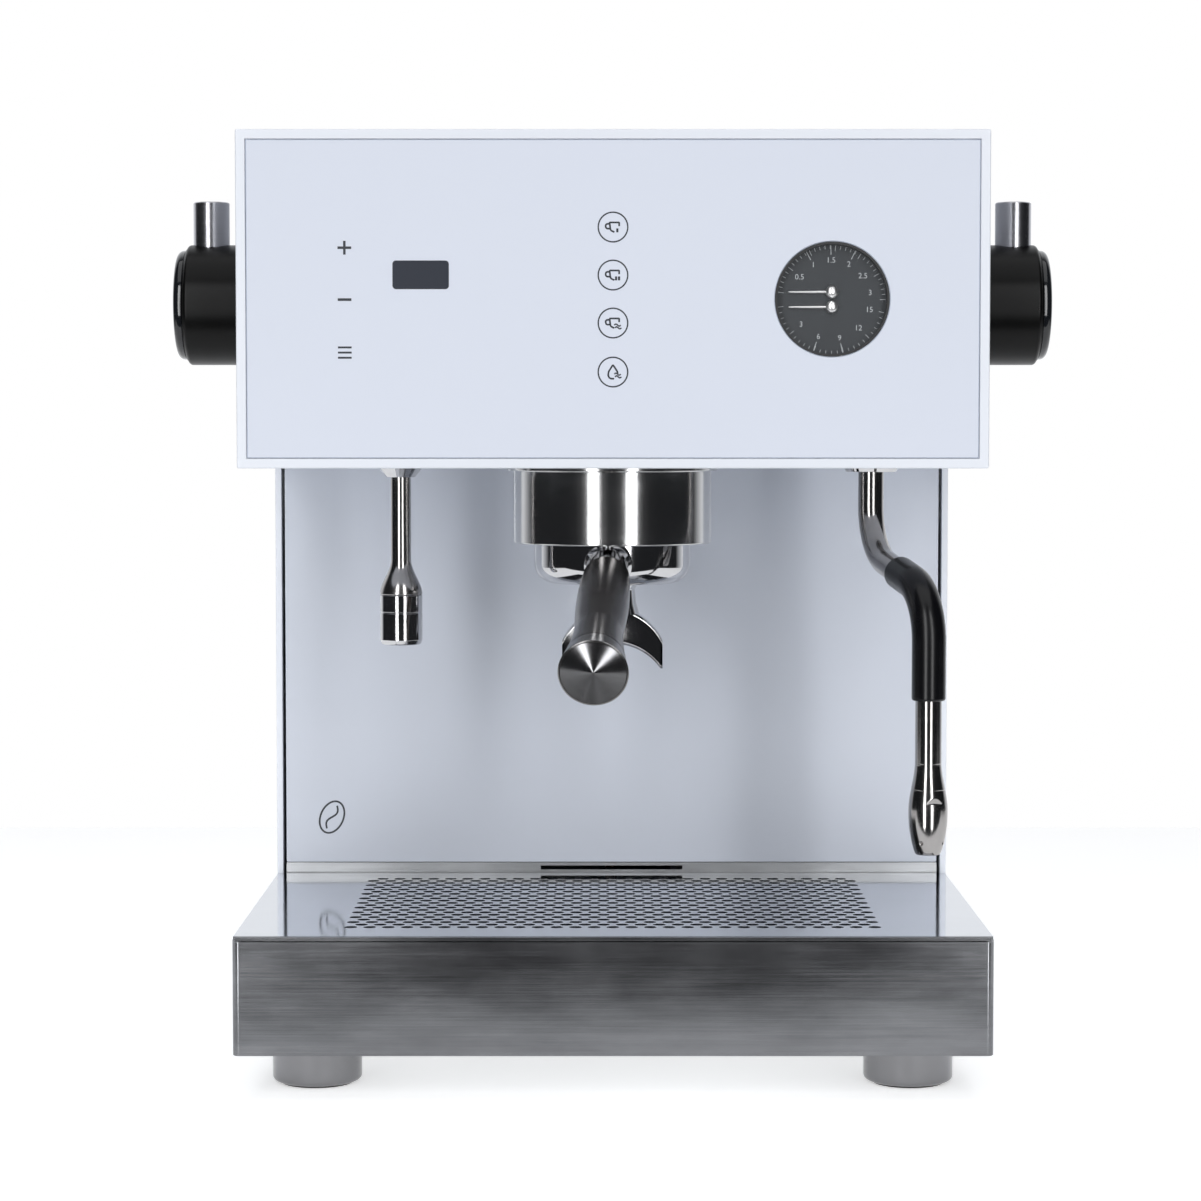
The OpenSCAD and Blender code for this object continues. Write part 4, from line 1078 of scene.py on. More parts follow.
@dataclass
class Portafilter:
    """The bowl with its bayonet ears, the turned handle and the arched twin spout."""

    bowl_r: float = 36.0
    bowl_low: float = 220.0
    bowl_top: float = 253.7
    edge: float = 9.0
    wall: float = 3.5
    ear_r: float = 40.3
    ear_low: float = 246.3
    ear_t: float = 5.0
    ear_angle: float = 40.0
    neck_z: float = 229.7
    neck_r: float = 9.2
    neck_l: float = 14.0
    slope: float = math.radians(19.7)
    handle_l: float = 119.0
    handle_end: float = 15.0
    cap_l: float = 12.0
    rings: int = 32
    ring_slope: float = math.radians(24)
    spout_half: float = 23.2
    spout_w: float = 15.0
    spout_crown: float = 208.5
    spout_tall: float = 16.5

    def handle_place(self) -> Place:
        """The handle's own place: its third axis runs out along the handle."""
        s, c = math.sin(HANDLE_YAW), math.cos(HANDLE_YAW)
        across = np.array([c, -s, 0.0])
        ahead = np.array([-s, -c, 0.0])
        up = ahead * math.cos(self.slope) - Z_AXIS * math.sin(self.slope)
        origin = spot(0, GROUP_DEPTH, self.neck_z) + ahead * self.bowl_r * MM
        return Place(origin, across, np.cross(up, across), up)

    def bowl(self, chrome: Material) -> Object:
        """The turned bowl and its neck, with two ears: sectors of a ring.

        The bowl's section is a wide round at the foot, a straight wall, and a
        cavity a wall's thickness inside it.
        """
        r, low, top, w = self.bowl_r, self.bowl_low, self.bowl_top, self.wall
        section = rounded([
            (4, low, 0.5), (r, low, self.edge), (r, top, 0.8), (r - w, top, 0.8),
            (r - w, low + w, self.edge - w), (4, low + w, 0.5)], steps=10)
        shape = Shape().turn(upright(0, GROUP_DEPTH, 0), section, 160, closed=True)
        ear_top = self.ear_low + self.ear_t
        corner = rounded([
            (r - 2, self.ear_low, 0.1), (self.ear_r, self.ear_low, 0.6), (self.ear_r, ear_top, 0.6),
            (r - 2, ear_top, 0.1)], steps=2)
        sweep = np.radians(np.linspace(-self.ear_angle / 2, self.ear_angle / 2, 20)) - HANDLE_YAW
        for half_turn in (0, math.pi):
            angle = sweep[:, None] + half_turn
            out, height = corner[:, 0], corner[:, 1]
            rows = np.stack([out * np.cos(angle), out * np.sin(angle), height + 0 * angle], -1)
            shape.grid(upright(0, GROUP_DEPTH, 0).put(rows), caps=True)
        n = self.neck_r
        neck_end = self.neck_l + 0.4
        neck = rounded([
            (0, -6, 0), (n + 1.6, -6, 0), (n + 1.6, 1.4, 0.5), (n, 3.6, 1.6), (n, neck_end, 0.2),
            (0, neck_end, 0)], closed=False, steps=6)
        shape.turn(self.handle_place(), neck, 96)
        return fitted(shape.made("portafilter_bowl", [chrome]), "portafilter", "chrome", "portafilter_body")

    def handle_radius(self, s: Array) -> Array:
        """Radius along the handle: a full start that swells by a sine, a slim waist and a flared end."""
        t = np.clip((s - self.neck_l) / (self.handle_l - self.neck_l), 0, 1)
        start = self.neck_r + 1.2
        swell = 1.4 * np.sin(math.pi * np.clip(t / 0.62, 0, 1)) * (1 - 0.35 * t)
        return start + swell + (self.handle_end - start) * np.clip((t - 0.55) / 0.45, 0, 1) ** 1.7

    def handle(self, dark: Material) -> Object:
        """The handle's body: its radius is the handle's curve, rounded at the start and parted by a groove."""
        end = self.handle_l - self.cap_l
        s = np.linspace(self.neck_l + 1.4, end - 0.5, 90)
        first = self.handle_radius(s[:1])[0]
        quarter = quarter_turn(8)
        shoulder = np.stack([first - 1.4 + 1.4 * np.sin(quarter), self.neck_l + 1.4 - 1.4 * np.cos(quarter)], 1)
        body = np.stack([self.handle_radius(s), s], 1)
        last = self.handle_radius(np.array([end]))[0]
        groove = [[last - 0.4, end - 0.15], [last - 0.5, end], [0, end]]
        profile = np.vstack([[[0, self.neck_l]], shoulder, body[1:], groove])
        shape = Shape().turn(self.handle_place(), profile, 128)
        return fitted(shape.made("turned_handle", [dark]), "portafilter", "steel_turned", "portafilter_handle")

    def end_ring(self, ring: Material, face: Material) -> Object:
        """The flared end ring, a small bevel and the turned face, whose fine teeth all slope outwards."""
        low, high = self.handle_l - self.cap_l, self.handle_l
        s = np.linspace(low + 0.4, high - 0.7, 20)
        first = self.handle_radius(np.array([low]))[0]
        body = np.stack([self.handle_radius(s), s], 1)
        last = self.handle_end
        rim = rounded([
            (body[-1, 0], body[-1, 1], 0), (last + 0.05, high - 0.2, 0.3), (last - 0.55, high, 0.2),
            (last - 1, high, 0)], closed=False, steps=4)
        side = np.vstack([[[0, low], [first - 0.5, low], [first - 0.3, low + 0.15]], body[:-1], rim])
        place = self.handle_place()
        shape = Shape().turn(place, side, 128)
        r = np.linspace(last - 1, 0, self.rings + 1)
        deep = (last - 1) / self.rings * math.tan(self.ring_slope)
        teeth = [np.stack([r[:-1], r[:-1] * 0 + high - deep], 1), np.stack([r[1:], r[1:] * 0 + high], 1)]
        disc = np.stack(teeth, 1).reshape(-1, 2)
        shape.turn(place, disc, 128, finish=1)
        piece = shape.made("handle_ring", [ring, face], sharp=25)
        return fitted(piece, "portafilter", "steel_turned", "handle_cap")

    def spout(self, chrome: Material) -> Object:
        """Two arched outlets under a hub.

        At each distance from the middle the section is a rounded rectangle
        between an upper arc and the same arc lowered: an arc's height is its
        crown less its radius plus the root of radius squared less x squared.
        """
        half, crown = self.spout_half, self.spout_crown
        upper, lower = half * 1.1, half * 1.17
        x = half * np.sin(np.linspace(-math.pi / 2, math.pi / 2, 61))
        top = crown - upper + np.sqrt(upper ** 2 - x ** 2)
        low = np.maximum(crown - self.spout_tall - lower + np.sqrt(lower ** 2 - x ** 2), crown - upper - 2.4)

        def section(at: float, z1: float, z2: float, wall: float) -> Array:
            """One rounded rectangle, shrunk by a wall, at a distance from the middle."""
            depth, radius = self.spout_w / 2 - wall, max(1.9 - wall * 0.6, 0.5)
            outline = rounded([(-depth, z1 + wall, radius), (depth, z1 + wall, radius),
                               (depth, z2 - wall, radius), (-depth, z2 - wall, radius)], steps=6)
            return np.column_stack([np.full(len(outline), at), outline])

        rows = [section(*values, 0) for values in zip(x, low, top)]
        place = upright(0, GROUP_DEPTH, 0)
        shape = Shape()
        first = [section(x[0] + push, low[0], top[0], wall) for push, wall in ((0, 1.0), (0.25, 0.3))]
        last = [section(x[-1] - push, low[-1], top[-1], wall) for push, wall in ((0.25, 0.3), (0, 1.0))]
        rows[0], rows[-1] = rows[0] + [0.9, 0, 0], rows[-1] - [0.9, 0, 0]
        shape.grid(place.put(np.stack(first + rows + last)), caps=True)
        hub_top = self.bowl_low + 0.2
        hub = rounded([
            (0, crown - 3, 0), (12.6, crown - 3, 0), (11.0, crown + 2.5, 3), (10.4, self.bowl_low - 3, 1),
            (12.4, hub_top, 0.5), (0, hub_top, 0)], closed=False, steps=6)
        shape.turn(place, hub, 96)
        return fitted(shape.made("twin_outlet", [chrome]), "portafilter", "chrome", "twin_spout")

    def build(self, stock: Dict[str, Material]) -> None:
        """Make the portafilter's pieces."""
        self.bowl(stock["chrome"])
        self.handle(stock["handle_dark"])
        self.end_ring(stock["handle_band"], stock["handle_face"])
        self.spout(stock["chrome"])


# ---------------------------------------------------------------- outlets

@dataclass(frozen=True)
class Joint:
    """Sizes of an outlet's ball joint, worked out the same way for both outlets."""

    x: float
    tube_r: float
    ball_r: float
    tilt: float
    drop: float
    taper: float
    depth: float = JOINT_DEPTH

    @property
    def nut_low(self) -> float:
        """Height of the nut's lower face."""
        return BOX_LOW - self.drop

    @property
    def lip(self) -> float:
        """Height of the top of the nut's lip."""
        return self.nut_low + 0.84 * self.drop

    @property
    def ball_z(self) -> float:
        """Height of the ball's centre."""
        return self.lip + 0.1 + 0.8 * self.ball_r

    @property
    def seat_r(self) -> float:
        """Outer radius of the ball's seat."""
        return self.ball_r + 2.1

    def opening(self) -> float:
        """Radius of the nut's opening, which lets the tube tilt."""
        below = self.ball_z - self.nut_low
        lean = math.radians(self.tilt)
        return self.tube_r / math.cos(lean) + below * math.tan(lean) + 0.25

    def valve(self, name: str, polish: Material) -> Object:
        """The valve: a nut round the ball joint, a stem above it, and a body across.

        Args:
            name: the node that it stands for.
            polish: its finish.

        Returns:
            The piece.
        """
        top = self.ball_z + self.ball_r + 2.6
        opening, bore = self.opening(), self.seat_r + 0.06
        outer = bore + 1.8
        foot = max(outer - self.taper, opening + 0.8)
        stem_r, stem_top = 8, AXIS_Z - 8
        profile = rounded([
            (0, top, 0), (bore, top, 0.2), (bore, self.lip, 0.1), (opening, self.lip, 0.1),
            (opening, self.nut_low, 0.2), (foot, self.nut_low, 0.35), (outer, BOX_LOW, 0.3),
            (outer, top + 4, 0.5), (stem_r, top + 4, 0.2), (stem_r, stem_top, 0), (0, stem_top, 0)],
            closed=False, steps=4)
        shape = Shape().turn(upright(self.x, self.depth, 0), profile, 96)
        side = 1 if self.x > 0 else -1
        body_r, body_l = 13, 42
        body = rounded([(0, 0, 0), (body_r, 0, 0.8), (body_r, body_l, 0.8), (0, body_l, 0)], closed=False)
        shape.turn(sideways(side, self.x - side * 16, KNOB_DEPTH, AXIS_Z), body, 96)
        return fitted(shape.made(f"{name}_nut", [polish]), "casing", "chrome", name)

    def ball(self) -> Array:
        """The ball's profile about its centre: cosine and sine of an angle times its radius."""
        angle = np.linspace(-math.pi / 2, math.pi / 2, 24)
        return self.ball_r * np.stack([np.cos(angle), np.sin(angle)], 1)


@dataclass
class SteamWand:
    """The bent steam tube, its rubber grip and its bulb-shaped tip."""

    joint: Joint
    reach: float = 72.8
    drop: float = 25.0
    bend_r: float = 26.0
    bend: float = math.radians(78)
    turn: float = math.radians(15.9 - 90)
    grip_low: float = 172.0
    grip_r: float = 7.5
    tip_low: float = 104.0
    tip_l: float = 41.0
    tip_r: float = 8.65
    socket: float = 8.0       # how far the tube runs into the tip

    def place(self) -> Place:
        """The wand's place: its first axis is the way that the bend reaches."""
        c, s = math.cos(self.turn), math.sin(self.turn)
        return Place(spot(self.joint.x, self.joint.depth, self.joint.ball_z), np.array([c, s, 0.0]),
                     np.array([-s, c, 0.0]), Z_AXIS)

    def rail(self) -> Array:
        """The tube's centre line: a drop, an arc, a slant, an arc back and a long drop.

        Returns:
            Rows of length along the line, x, z, and the direction in x and z.
        """
        r, b = self.bend_r, self.bend
        out, fall = r * (1 - math.cos(b)), r * math.sin(b)
        slant = (self.reach - 2 * out) / math.sin(b)
        end_z = self.tip_low + self.tip_l - self.socket - self.joint.ball_z
        angle = np.linspace(0, b, 25)
        sine, cosine = np.sin(angle), np.cos(angle)
        one = np.stack([r * (1 - cosine), -self.drop - r * sine, sine, -cosine], 1)
        foot = np.array([out + slant * math.sin(b), -self.drop - fall - slant * math.cos(b)])
        centre = foot - r * np.array([math.cos(b), math.sin(b)])
        sine, cosine = np.sin(b - angle), np.cos(b - angle)
        two = np.stack([centre[0] + r * cosine, centre[1] + r * sine, sine, -cosine], 1)
        down = np.stack([np.full(2, self.reach), np.array([two[-1, 1], end_z]), np.zeros(2), -np.ones(2)], 1)
        line = np.vstack([[[0, 0, 0, -1.0]], one, two, down[1:]])
        length = np.concatenate([[0], np.cumsum(np.linalg.norm(np.diff(line[:, :2], axis=0), axis=1))])
        return np.column_stack([length, line])

    def stations(self, s: Array) -> Array:
        """Points and directions of the rail at lengths along it."""
        rail = self.rail()
        return np.stack([np.interp(s, rail[:, 0], rail[:, i]) for i in range(1, 5)], 1)

    def tube(self, chrome: Material) -> Object:
        """A round tube carried along the rail from the ball."""
        rail = self.rail()
        s = np.unique(np.concatenate([rail[:, 0], np.linspace(0, rail[-1, 0], 120)]))
        line = self.stations(s)
        radius = np.full(len(s), self.joint.tube_r)
        line = np.vstack([line[:1], line, line[-1:]])
        radius = np.concatenate([[0], radius, [0]])
        place = self.place()
        shape = Shape().tube(place, line, radius, 64).turn(place, self.joint.ball(), 64)
        return fitted(shape.made("wand_tube", [chrome]), "wand", "chrome", "steam_wand")

    def grip(self, rubber: Material) -> Object:
        """A rubber sleeve on the same rail: its radius rises and falls as a quarter round at both ends."""
        rail = self.rail()
        first = np.interp(self.slant_middle(), rail[:, 1], rail[:, 0])
        last = rail[-1, 0] - (self.grip_low - (self.tip_low + self.tip_l - self.socket))
        edge = 1.1
        quarter = quarter_turn(6)
        middle = np.linspace(first + edge, last - edge, 110)[1:-1]
        s = np.concatenate([first + edge * (1 - np.cos(quarter)), middle, last - edge * (1 - np.sin(quarter))])
        radius = np.full(len(s), self.grip_r)
        radius[:6] = self.grip_r - edge * (1 - np.sin(quarter))
        radius[-6:] = self.grip_r - edge * (1 - np.cos(quarter))
        ends = self.joint.tube_r - 0.1
        s = np.concatenate([[first + 0.3, first + 0.3, first], s, [last, last - 0.3, last - 0.3]])
        radius = np.concatenate([[0, ends, ends + 0.3], radius, [ends + 0.3, ends, 0]])
        shape = Shape().tube(self.place(), self.stations(s), radius, 72)
        return fitted(shape.made("wand_sleeve", [rubber]), "wand", "rubber", "steam_grip")

    def slant_middle(self) -> float:
        """How far out the middle of the slant lies."""
        return self.reach / 2

    def tip(self, chrome: Material) -> Object:
        """The bulb: a turned shape with a wrench flat on its front and back and four small jets.

        The radius eases out from the tube and falls by a power to the end. A
        flat leans a little, so that it fades out at its top, and each jet is a
        smooth dimple round its own angle and height.
        """
        tube, widest = self.joint.tube_r, self.tip_r
        t = np.concatenate([np.linspace(0, 0.05, 6), np.linspace(0.06, 0.97, 150)])
        belly = 0.52
        swell = tube + (widest - tube) * ease(t / belly)
        fall = np.clip((t - belly) / (1 - belly), 0, 1) ** 2.4
        radius = np.where(t < belly, swell, widest + (tube - 0.4 - widest) * fall)
        seam = 0.22 * np.exp(-((t - 0.03) / 0.006) ** 2) + 0.12 * np.exp(-((t - 0.30) / 0.005) ** 2)
        top = self.tip_low + self.tip_l
        height = top - self.tip_l * t
        angle = full_turn(192)
        full = np.repeat((radius - seam)[:, None], len(angle), 1)
        z = height[:, None] + 0 * angle
        flat_low, flat_tall = self.tip_low + self.tip_l * 0.56, 7.0
        lean = widest - 1.1 + np.clip(z - flat_low, 0, flat_tall) * 0.2
        across = np.abs(np.cos(angle)) + 1e-6
        band = (z > flat_low) & (z < flat_low + flat_tall)
        full = np.where(band, np.minimum(full, lean / across), full)
        jet_z, jet_r, jet_deep = self.tip_low + 5.5, 0.95, 1.2
        for k in range(4):
            off = (angle - math.radians(45 + 90 * k) + math.pi) % (2 * math.pi) - math.pi
            away = np.hypot(off * 7.0, z - jet_z)
            full = full - jet_deep * (1 - ease(away / jet_r))
        side = np.stack([full * np.cos(angle), full * np.sin(angle), z], -1)
        place = self.place()
        at = place.put(np.array([self.reach, 0, 0]))
        stand = Place(np.array([at[0], at[1], 0.0]), place.across, place.along, Z_AXIS)
        low = height[-1]
        end = rounded([
            (radius[-1], low, 0), (radius[-1] - 0.6, self.tip_low, 0.8), (2.4, self.tip_low, 0.5),
            (2.0, self.tip_low + 2.5, 0), (0, self.tip_low + 3, 0)], closed=False, steps=5)
        shape = Shape().turn(stand, np.array([[0.0, top], [tube, top]]), 192)
        shape.grid(stand.put(side))
        shape.turn(stand, end, 192)
        return fitted(shape.made("wand_bulb", [chrome], sharp=28), "wand", "chrome", "steam_tip")

    def build(self, stock: Dict[str, Material]) -> None:
        """Make the wand's pieces and its valve."""
        self.joint.valve("steam_valve", stock["chrome"])
        self.tube(stock["wand_steel"])
        self.grip(stock["rubber"])
        self.tip(stock["wand_steel"])


@dataclass
class WaterSpout:
    """The straight hot-water tube, its flare and its barrel-shaped outlet."""

    joint: Joint
    low: float = 192.0
    barrel_l: float = 23.0
    flare_l: float = 16.0
    barrel_r: float = 9.8

    def tube(self, steel: Material) -> Object:
        """The tube and flare: the radius eases out from the tube's to the barrel's."""
        base = self.low + self.barrel_l
        t = np.linspace(0, 1, 40)
        wide, slim, ball_z = self.barrel_r, self.joint.tube_r, self.joint.ball_z
        flare = np.stack([wide + (slim - wide) * ease(t), base + self.flare_l * t], 1)
        profile = np.vstack([[[0, base], [wide - 0.5, base], [wide - 0.2, base + 0.12]], flare[1:],
                             [[slim, ball_z], [0, ball_z]]])
        shape = Shape().turn(upright(self.joint.x, self.joint.depth, 0), profile, 96)
        shape.turn(upright(self.joint.x, self.joint.depth, self.joint.ball_z), self.joint.ball(), 64)
        return fitted(shape.made("water_tube", [steel]), "spout", "chrome", "water_spout")

    def barrel(self, steel: Material, dark: Material) -> Object:
        """The outlet: a barrel with a groove, a rounded lower rim and a plate inside, whose holes are dark discs
        of painted shade.
        """
        r, low, top = self.barrel_r, self.low, self.low + self.barrel_l
        profile = rounded([
            (0, top, 0), (r - 0.5, top, 0.1), (r, top - 0.3, 0.2), (r, low + 15.2, 0.2),
            (r - 0.25, low + 15.0, 0.1), (r - 0.25, low + 14.6, 0.1), (r, low + 14.4, 0.2),
            (r, low + 2.2, 0.6), (r - 0.9, low, 0.9), (r - 2, low, 0.4), (r - 2.2, low + 4, 0.2),
            (0, low + 4, 0)], closed=False, steps=4)
        place = upright(self.joint.x, self.joint.depth, 0)
        shape = Shape().turn(place, profile, 128)
        # The holes are not cut: six thin near-black discs on the plate are painted shade where real holes would
        # be dark.
        hole = np.array([[0, 0.02], [0.75, 0.02], [0.75, -0.05], [0, -0.05]])
        angle = np.radians(60 * np.arange(6))
        for ray in np.stack([np.cos(angle), np.sin(angle)], 1) * 4.2:
            shape.turn(upright(self.joint.x + ray[0], self.joint.depth + ray[1], low + 4), hole, 16, finish=1)
        return fitted(shape.made("water_barrel", [steel, dark]), "spout", "chrome", "water_aerator")

    def build(self, stock: Dict[str, Material]) -> None:
        """Make the spout's pieces and its valve."""
        self.joint.valve("water_valve", stock["chrome"])
        self.tube(stock["spout_steel"])
        self.barrel(stock["chrome"], stock["painted_hole_shade"])


# ---------------------------------------------------------------- drip tray

@dataclass
class TrayFront:
    """The folded brushed front of the drip tray."""

    fold: float = 26.0
    outer_r: float = 3.0
    sheet: float = 1.5

    def build(self, stock: Dict[str, Material]) -> None:
        """A U-shaped outline raised to the drip plate's underside, and a lip that rises past its edge."""
        w, t, r = HALF_W, self.sheet, self.outer_r
        outline = rounded([
            (-w, 0, r), (w, 0, r), (w, self.fold, 0.5), (w - t, self.fold, 0.5), (w - t, t, r - t),
            (t - w, t, r - t), (t - w, self.fold, 0.5), (-w, self.fold, 0.5)], steps=8)
        shelf = BASE_TOP - PLATE_T
        shape = Shape().slab(upright(), outline, BASE_LOW, shelf, 0.35)
        lip = rounded([(0.6 - w, 0, 0.6), (w - 0.6, 0, 0.6), (w - 0.6, t, 0.6), (0.6 - w, t, 0.6)], steps=4)
        shape.slab(upright(), lip, shelf - 1.2, BASE_TOP, 0.45)
        fitted(shape.made("tray_face", [stock["tray_steel"]]), "tray", "steel_brushed", "tray_front")


# ---------------------------------------------------------------- finishes of everything

def stock_finishes() -> Dict[str, Material]:
    """Make every finish of the new pieces.

    Returns:
        The materials by a short name.
    """
    handle = Portafilter().handle_place()
    along = handle.up
    tilt = math.acos(float(along[2]))
    swing = math.atan2(along[1], along[0])
    handle_turn = (0.0, tilt, swing)
    origin = tuple(float(v) for v in handle.origin)
    finishes = {
        "paint": Coated("white_paint", (0.80, 0.83, 0.89), (0.77, 0.805, 0.87), 0.32, 0.25, 0.00003),
        "glass": Coated("white_glass", (0.735, 0.775, 0.865), (0.725, 0.765, 0.86), 0.09, 0.5, 0.000001),
        "glass_edge": Coated("glass_edge", (0.56, 0.61, 0.70), (0.52, 0.57, 0.67), 0.06, 0.6, 0.000001),
        # A darker copy of the body's white: painted shade on the backsplash, which sits in the recess under the
        # box.
        "recess_shaded_white": Coated("white_painted_shade", (0.67, 0.705, 0.775), (0.655, 0.69, 0.765), 0.11, 0.5, 0.000002),
        "ink": Moulded("printed_ink", PANEL_INK, (0.02, 0.024, 0.032), 0.35, 0.000001),
        "display": Moulded(
            "display_glass", (0.055, 0.06, 0.075), (0.045, 0.05, 0.062), 0.09, 0.000001, coat=0.6),
        "print": Moulded("dial_print", (0.50, 0.52, 0.54), (0.42, 0.44, 0.46), 0.5, 0.000001),
        "needle": Polished("needle_bright", (0.97, 0.97, 0.97), (0.90, 0.90, 0.90), 0.32, 0.04),
        "satin": Moulded("knob_satin", (0.004, 0.004, 0.004), (0.002, 0.002, 0.002), 0.3, 0.000006, shine=0.16),
        "knob_gloss": Moulded(
            "knob_gloss", (0.010, 0.011, 0.013), (0.006, 0.007, 0.009), 0.12, 0.000002, coat=0.5, shine=0.3),
        "rubber": Moulded(
            "wand_rubber", (0.004, 0.004, 0.005), (0.002, 0.002, 0.003), 0.25, 0.000006, shine=0.3),
        # Near-black discs in the aerator plate: painted shade for its holes.
        "painted_hole_shade": Moulded("painted_hole_shadow", (0.012, 0.012, 0.013), (0.006, 0.006, 0.007), 0.5, 0.00001),
        "chrome": Polished("chrome"),
        "cover_polish": Polished("cover_polish", (0.60, 0.60, 0.60), (0.50, 0.50, 0.50), 0.12, 0.05),
        "wand_steel": Polished("wand_steel", (0.42, 0.405, 0.40), (0.31, 0.30, 0.295), 0.13, 0.06),
        "spout_steel": Polished("spout_steel", (0.44, 0.425, 0.42), (0.34, 0.33, 0.325), 0.16, 0.06),
        "tray_steel": Brushed(
            "tray_steel", Grain.ACROSS, (0.27, 0.275, 0.288), (0.12, 0.123, 0.13), 0.22, 0.12),
        "foot_steel": Turned(
            "foot_steel", tuple(spot(0, 0, 0)), light=(0.27, 0.27, 0.28), shade=(0.18, 0.18, 0.187), rough=0.12),
    }
    for name, light, shade, rough in (
            ("handle_dark", (0.062, 0.053, 0.050), (0.036, 0.030, 0.028), 0.24),
            ("handle_band", (0.22, 0.215, 0.215), (0.15, 0.147, 0.147), 0.22),
            ("handle_face", (0.21, 0.21, 0.215), (0.15, 0.15, 0.155), 0.17)):
        finishes[name] = Turned(name, origin, handle_turn, light, shade, rough)
    for name, side in (("peg_left", -1), ("peg_right", 1)):
        axis = tuple(spot(side * (HALF_W + PEG_OUT), KNOB_DEPTH, 0))
        finishes[name] = Turned(name, axis, light=(0.60, 0.60, 0.63), shade=(0.40, 0.40, 0.43), rough=0.24)
    return {name: finish.build() for name, finish in finishes.items()}


def dress_frame(stock: Dict[str, Material]) -> None:
    """Give every node that stays as it is its own finish.

    Args:
        stock: the finishes of the new pieces, some of which are shared.
    """
    galvanised = Brushed("galvanised", Grain.UP, (0.50, 0.51, 0.52), (0.36, 0.37, 0.38), 0.38).build()
    inner_steel = Brushed("inner_steel", Grain.ACROSS, (0.62, 0.63, 0.64), (0.45, 0.46, 0.47), 0.32).build()
    plate = Brushed(
        "plate_mirror", Grain.ACROSS, (0.66, 0.68, 0.72), (0.58, 0.60, 0.64), 0.08, 0.06, 0.000002).build()
    boiler = Brushed("boiler_steel", Grain.BACK, (0.60, 0.61, 0.62), (0.48, 0.49, 0.50), 0.3).build()
    brass = Turned(
        "brass", tuple(spot(0, GROUP_DEPTH, 0)), light=(0.72, 0.52, 0.24), shade=(0.58, 0.40, 0.17),
        rough=0.3).build()
    copper = Polished("copper", (0.80, 0.46, 0.32), (0.66, 0.34, 0.23), 0.22).build()
    seat = Moulded("seat_white", (0.86, 0.86, 0.83), (0.80, 0.80, 0.77), 0.4).build()
    grey = Moulded("grey_plastic", (0.16, 0.16, 0.17), (0.12, 0.12, 0.13), 0.45, 0.00004, 900).build()
    black = Moulded("black_plastic", (0.02, 0.02, 0.021), (0.012, 0.012, 0.013), 0.45, 0.00004, 1100).build()
    pad = Moulded("foot_rubber", (0.03, 0.03, 0.03), (0.018, 0.018, 0.018), 0.7, 0.00006, 700).build()
    dial = Moulded("dial_face", (0.020, 0.025, 0.031), (0.017, 0.021, 0.026), 0.6, 0.000001, 300).build()
    lens = Clear("lens_glass", (0.9, 0.93, 0.95), 0.012, 0.12).build()
    tank = Clear("tank_plastic", (0.55, 0.66, 0.72), 0.42, 0.12).build()
    board = Board("green_board").build()
    finish_of = {
        stock["paint"]: ("rear_panel", "top_cover", "box_floor", "tank_lid"),
        inner_steel: (
            "base_pan", "cup_tray", "shower_screen", "filter_basket", "drip_tray", "screws", "basket_spring"),
        galvanised: ("inner_frame",), plate: ("drip_grille",), boiler: ("coffee_boiler", "steam_boiler"),
        brass: ("steam_spindle", "water_spindle"), stock["chrome"]: ("group_head",), copper: ("pipes",),
        seat: ("steam_ball_seat", "water_ball_seat"), grey: ("pump", "control_box"),
        black: ("gauge_housing", "power_inlet", "power_switch"), pad: ("foot_pads", "group_gasket"),
        dial: ("gauge_dial",), lens: ("gauge_lens",), tank: ("water_tank",), board: ("display_board",),
    }
    for material, nodes in finish_of.items():
        for node in nodes:
            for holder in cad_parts[node].material_slots:
                holder.material = material
            LOG.info("%s has the finish %s", node, material.name)


# ---------------------------------------------------------------- studio

@dataclass(frozen=True)
class SoftBox:
    """A rectangular lamp that faces the machine."""

    name: str
    at: Tuple[float, float, float]
    aim: Tuple[float, float, float]
    size: Tuple[float, float]
    power: float
    colour: Colour = (1.0, 1.0, 1.0)

    def build(self) -> None:
        """Hang the lamp, turned to face its aim, and hide it from the camera itself."""
        lamp = bpy.data.lights.new(self.name, "AREA")
        lamp.shape, lamp.energy, lamp.color = "RECTANGLE", self.power, self.colour
        lamp.size, lamp.size_y = self.size
        holder = linked(self.name, lamp)
        holder.location = self.at
        way = np.array(self.aim) - np.array(self.at)
        yaw = math.atan2(way[1], way[0]) - math.pi / 2
        pitch = math.atan2(way[2], math.hypot(way[0], way[1])) + math.pi / 2
        holder.rotation_euler = (pitch, 0, yaw)
        holder.visible_camera = False


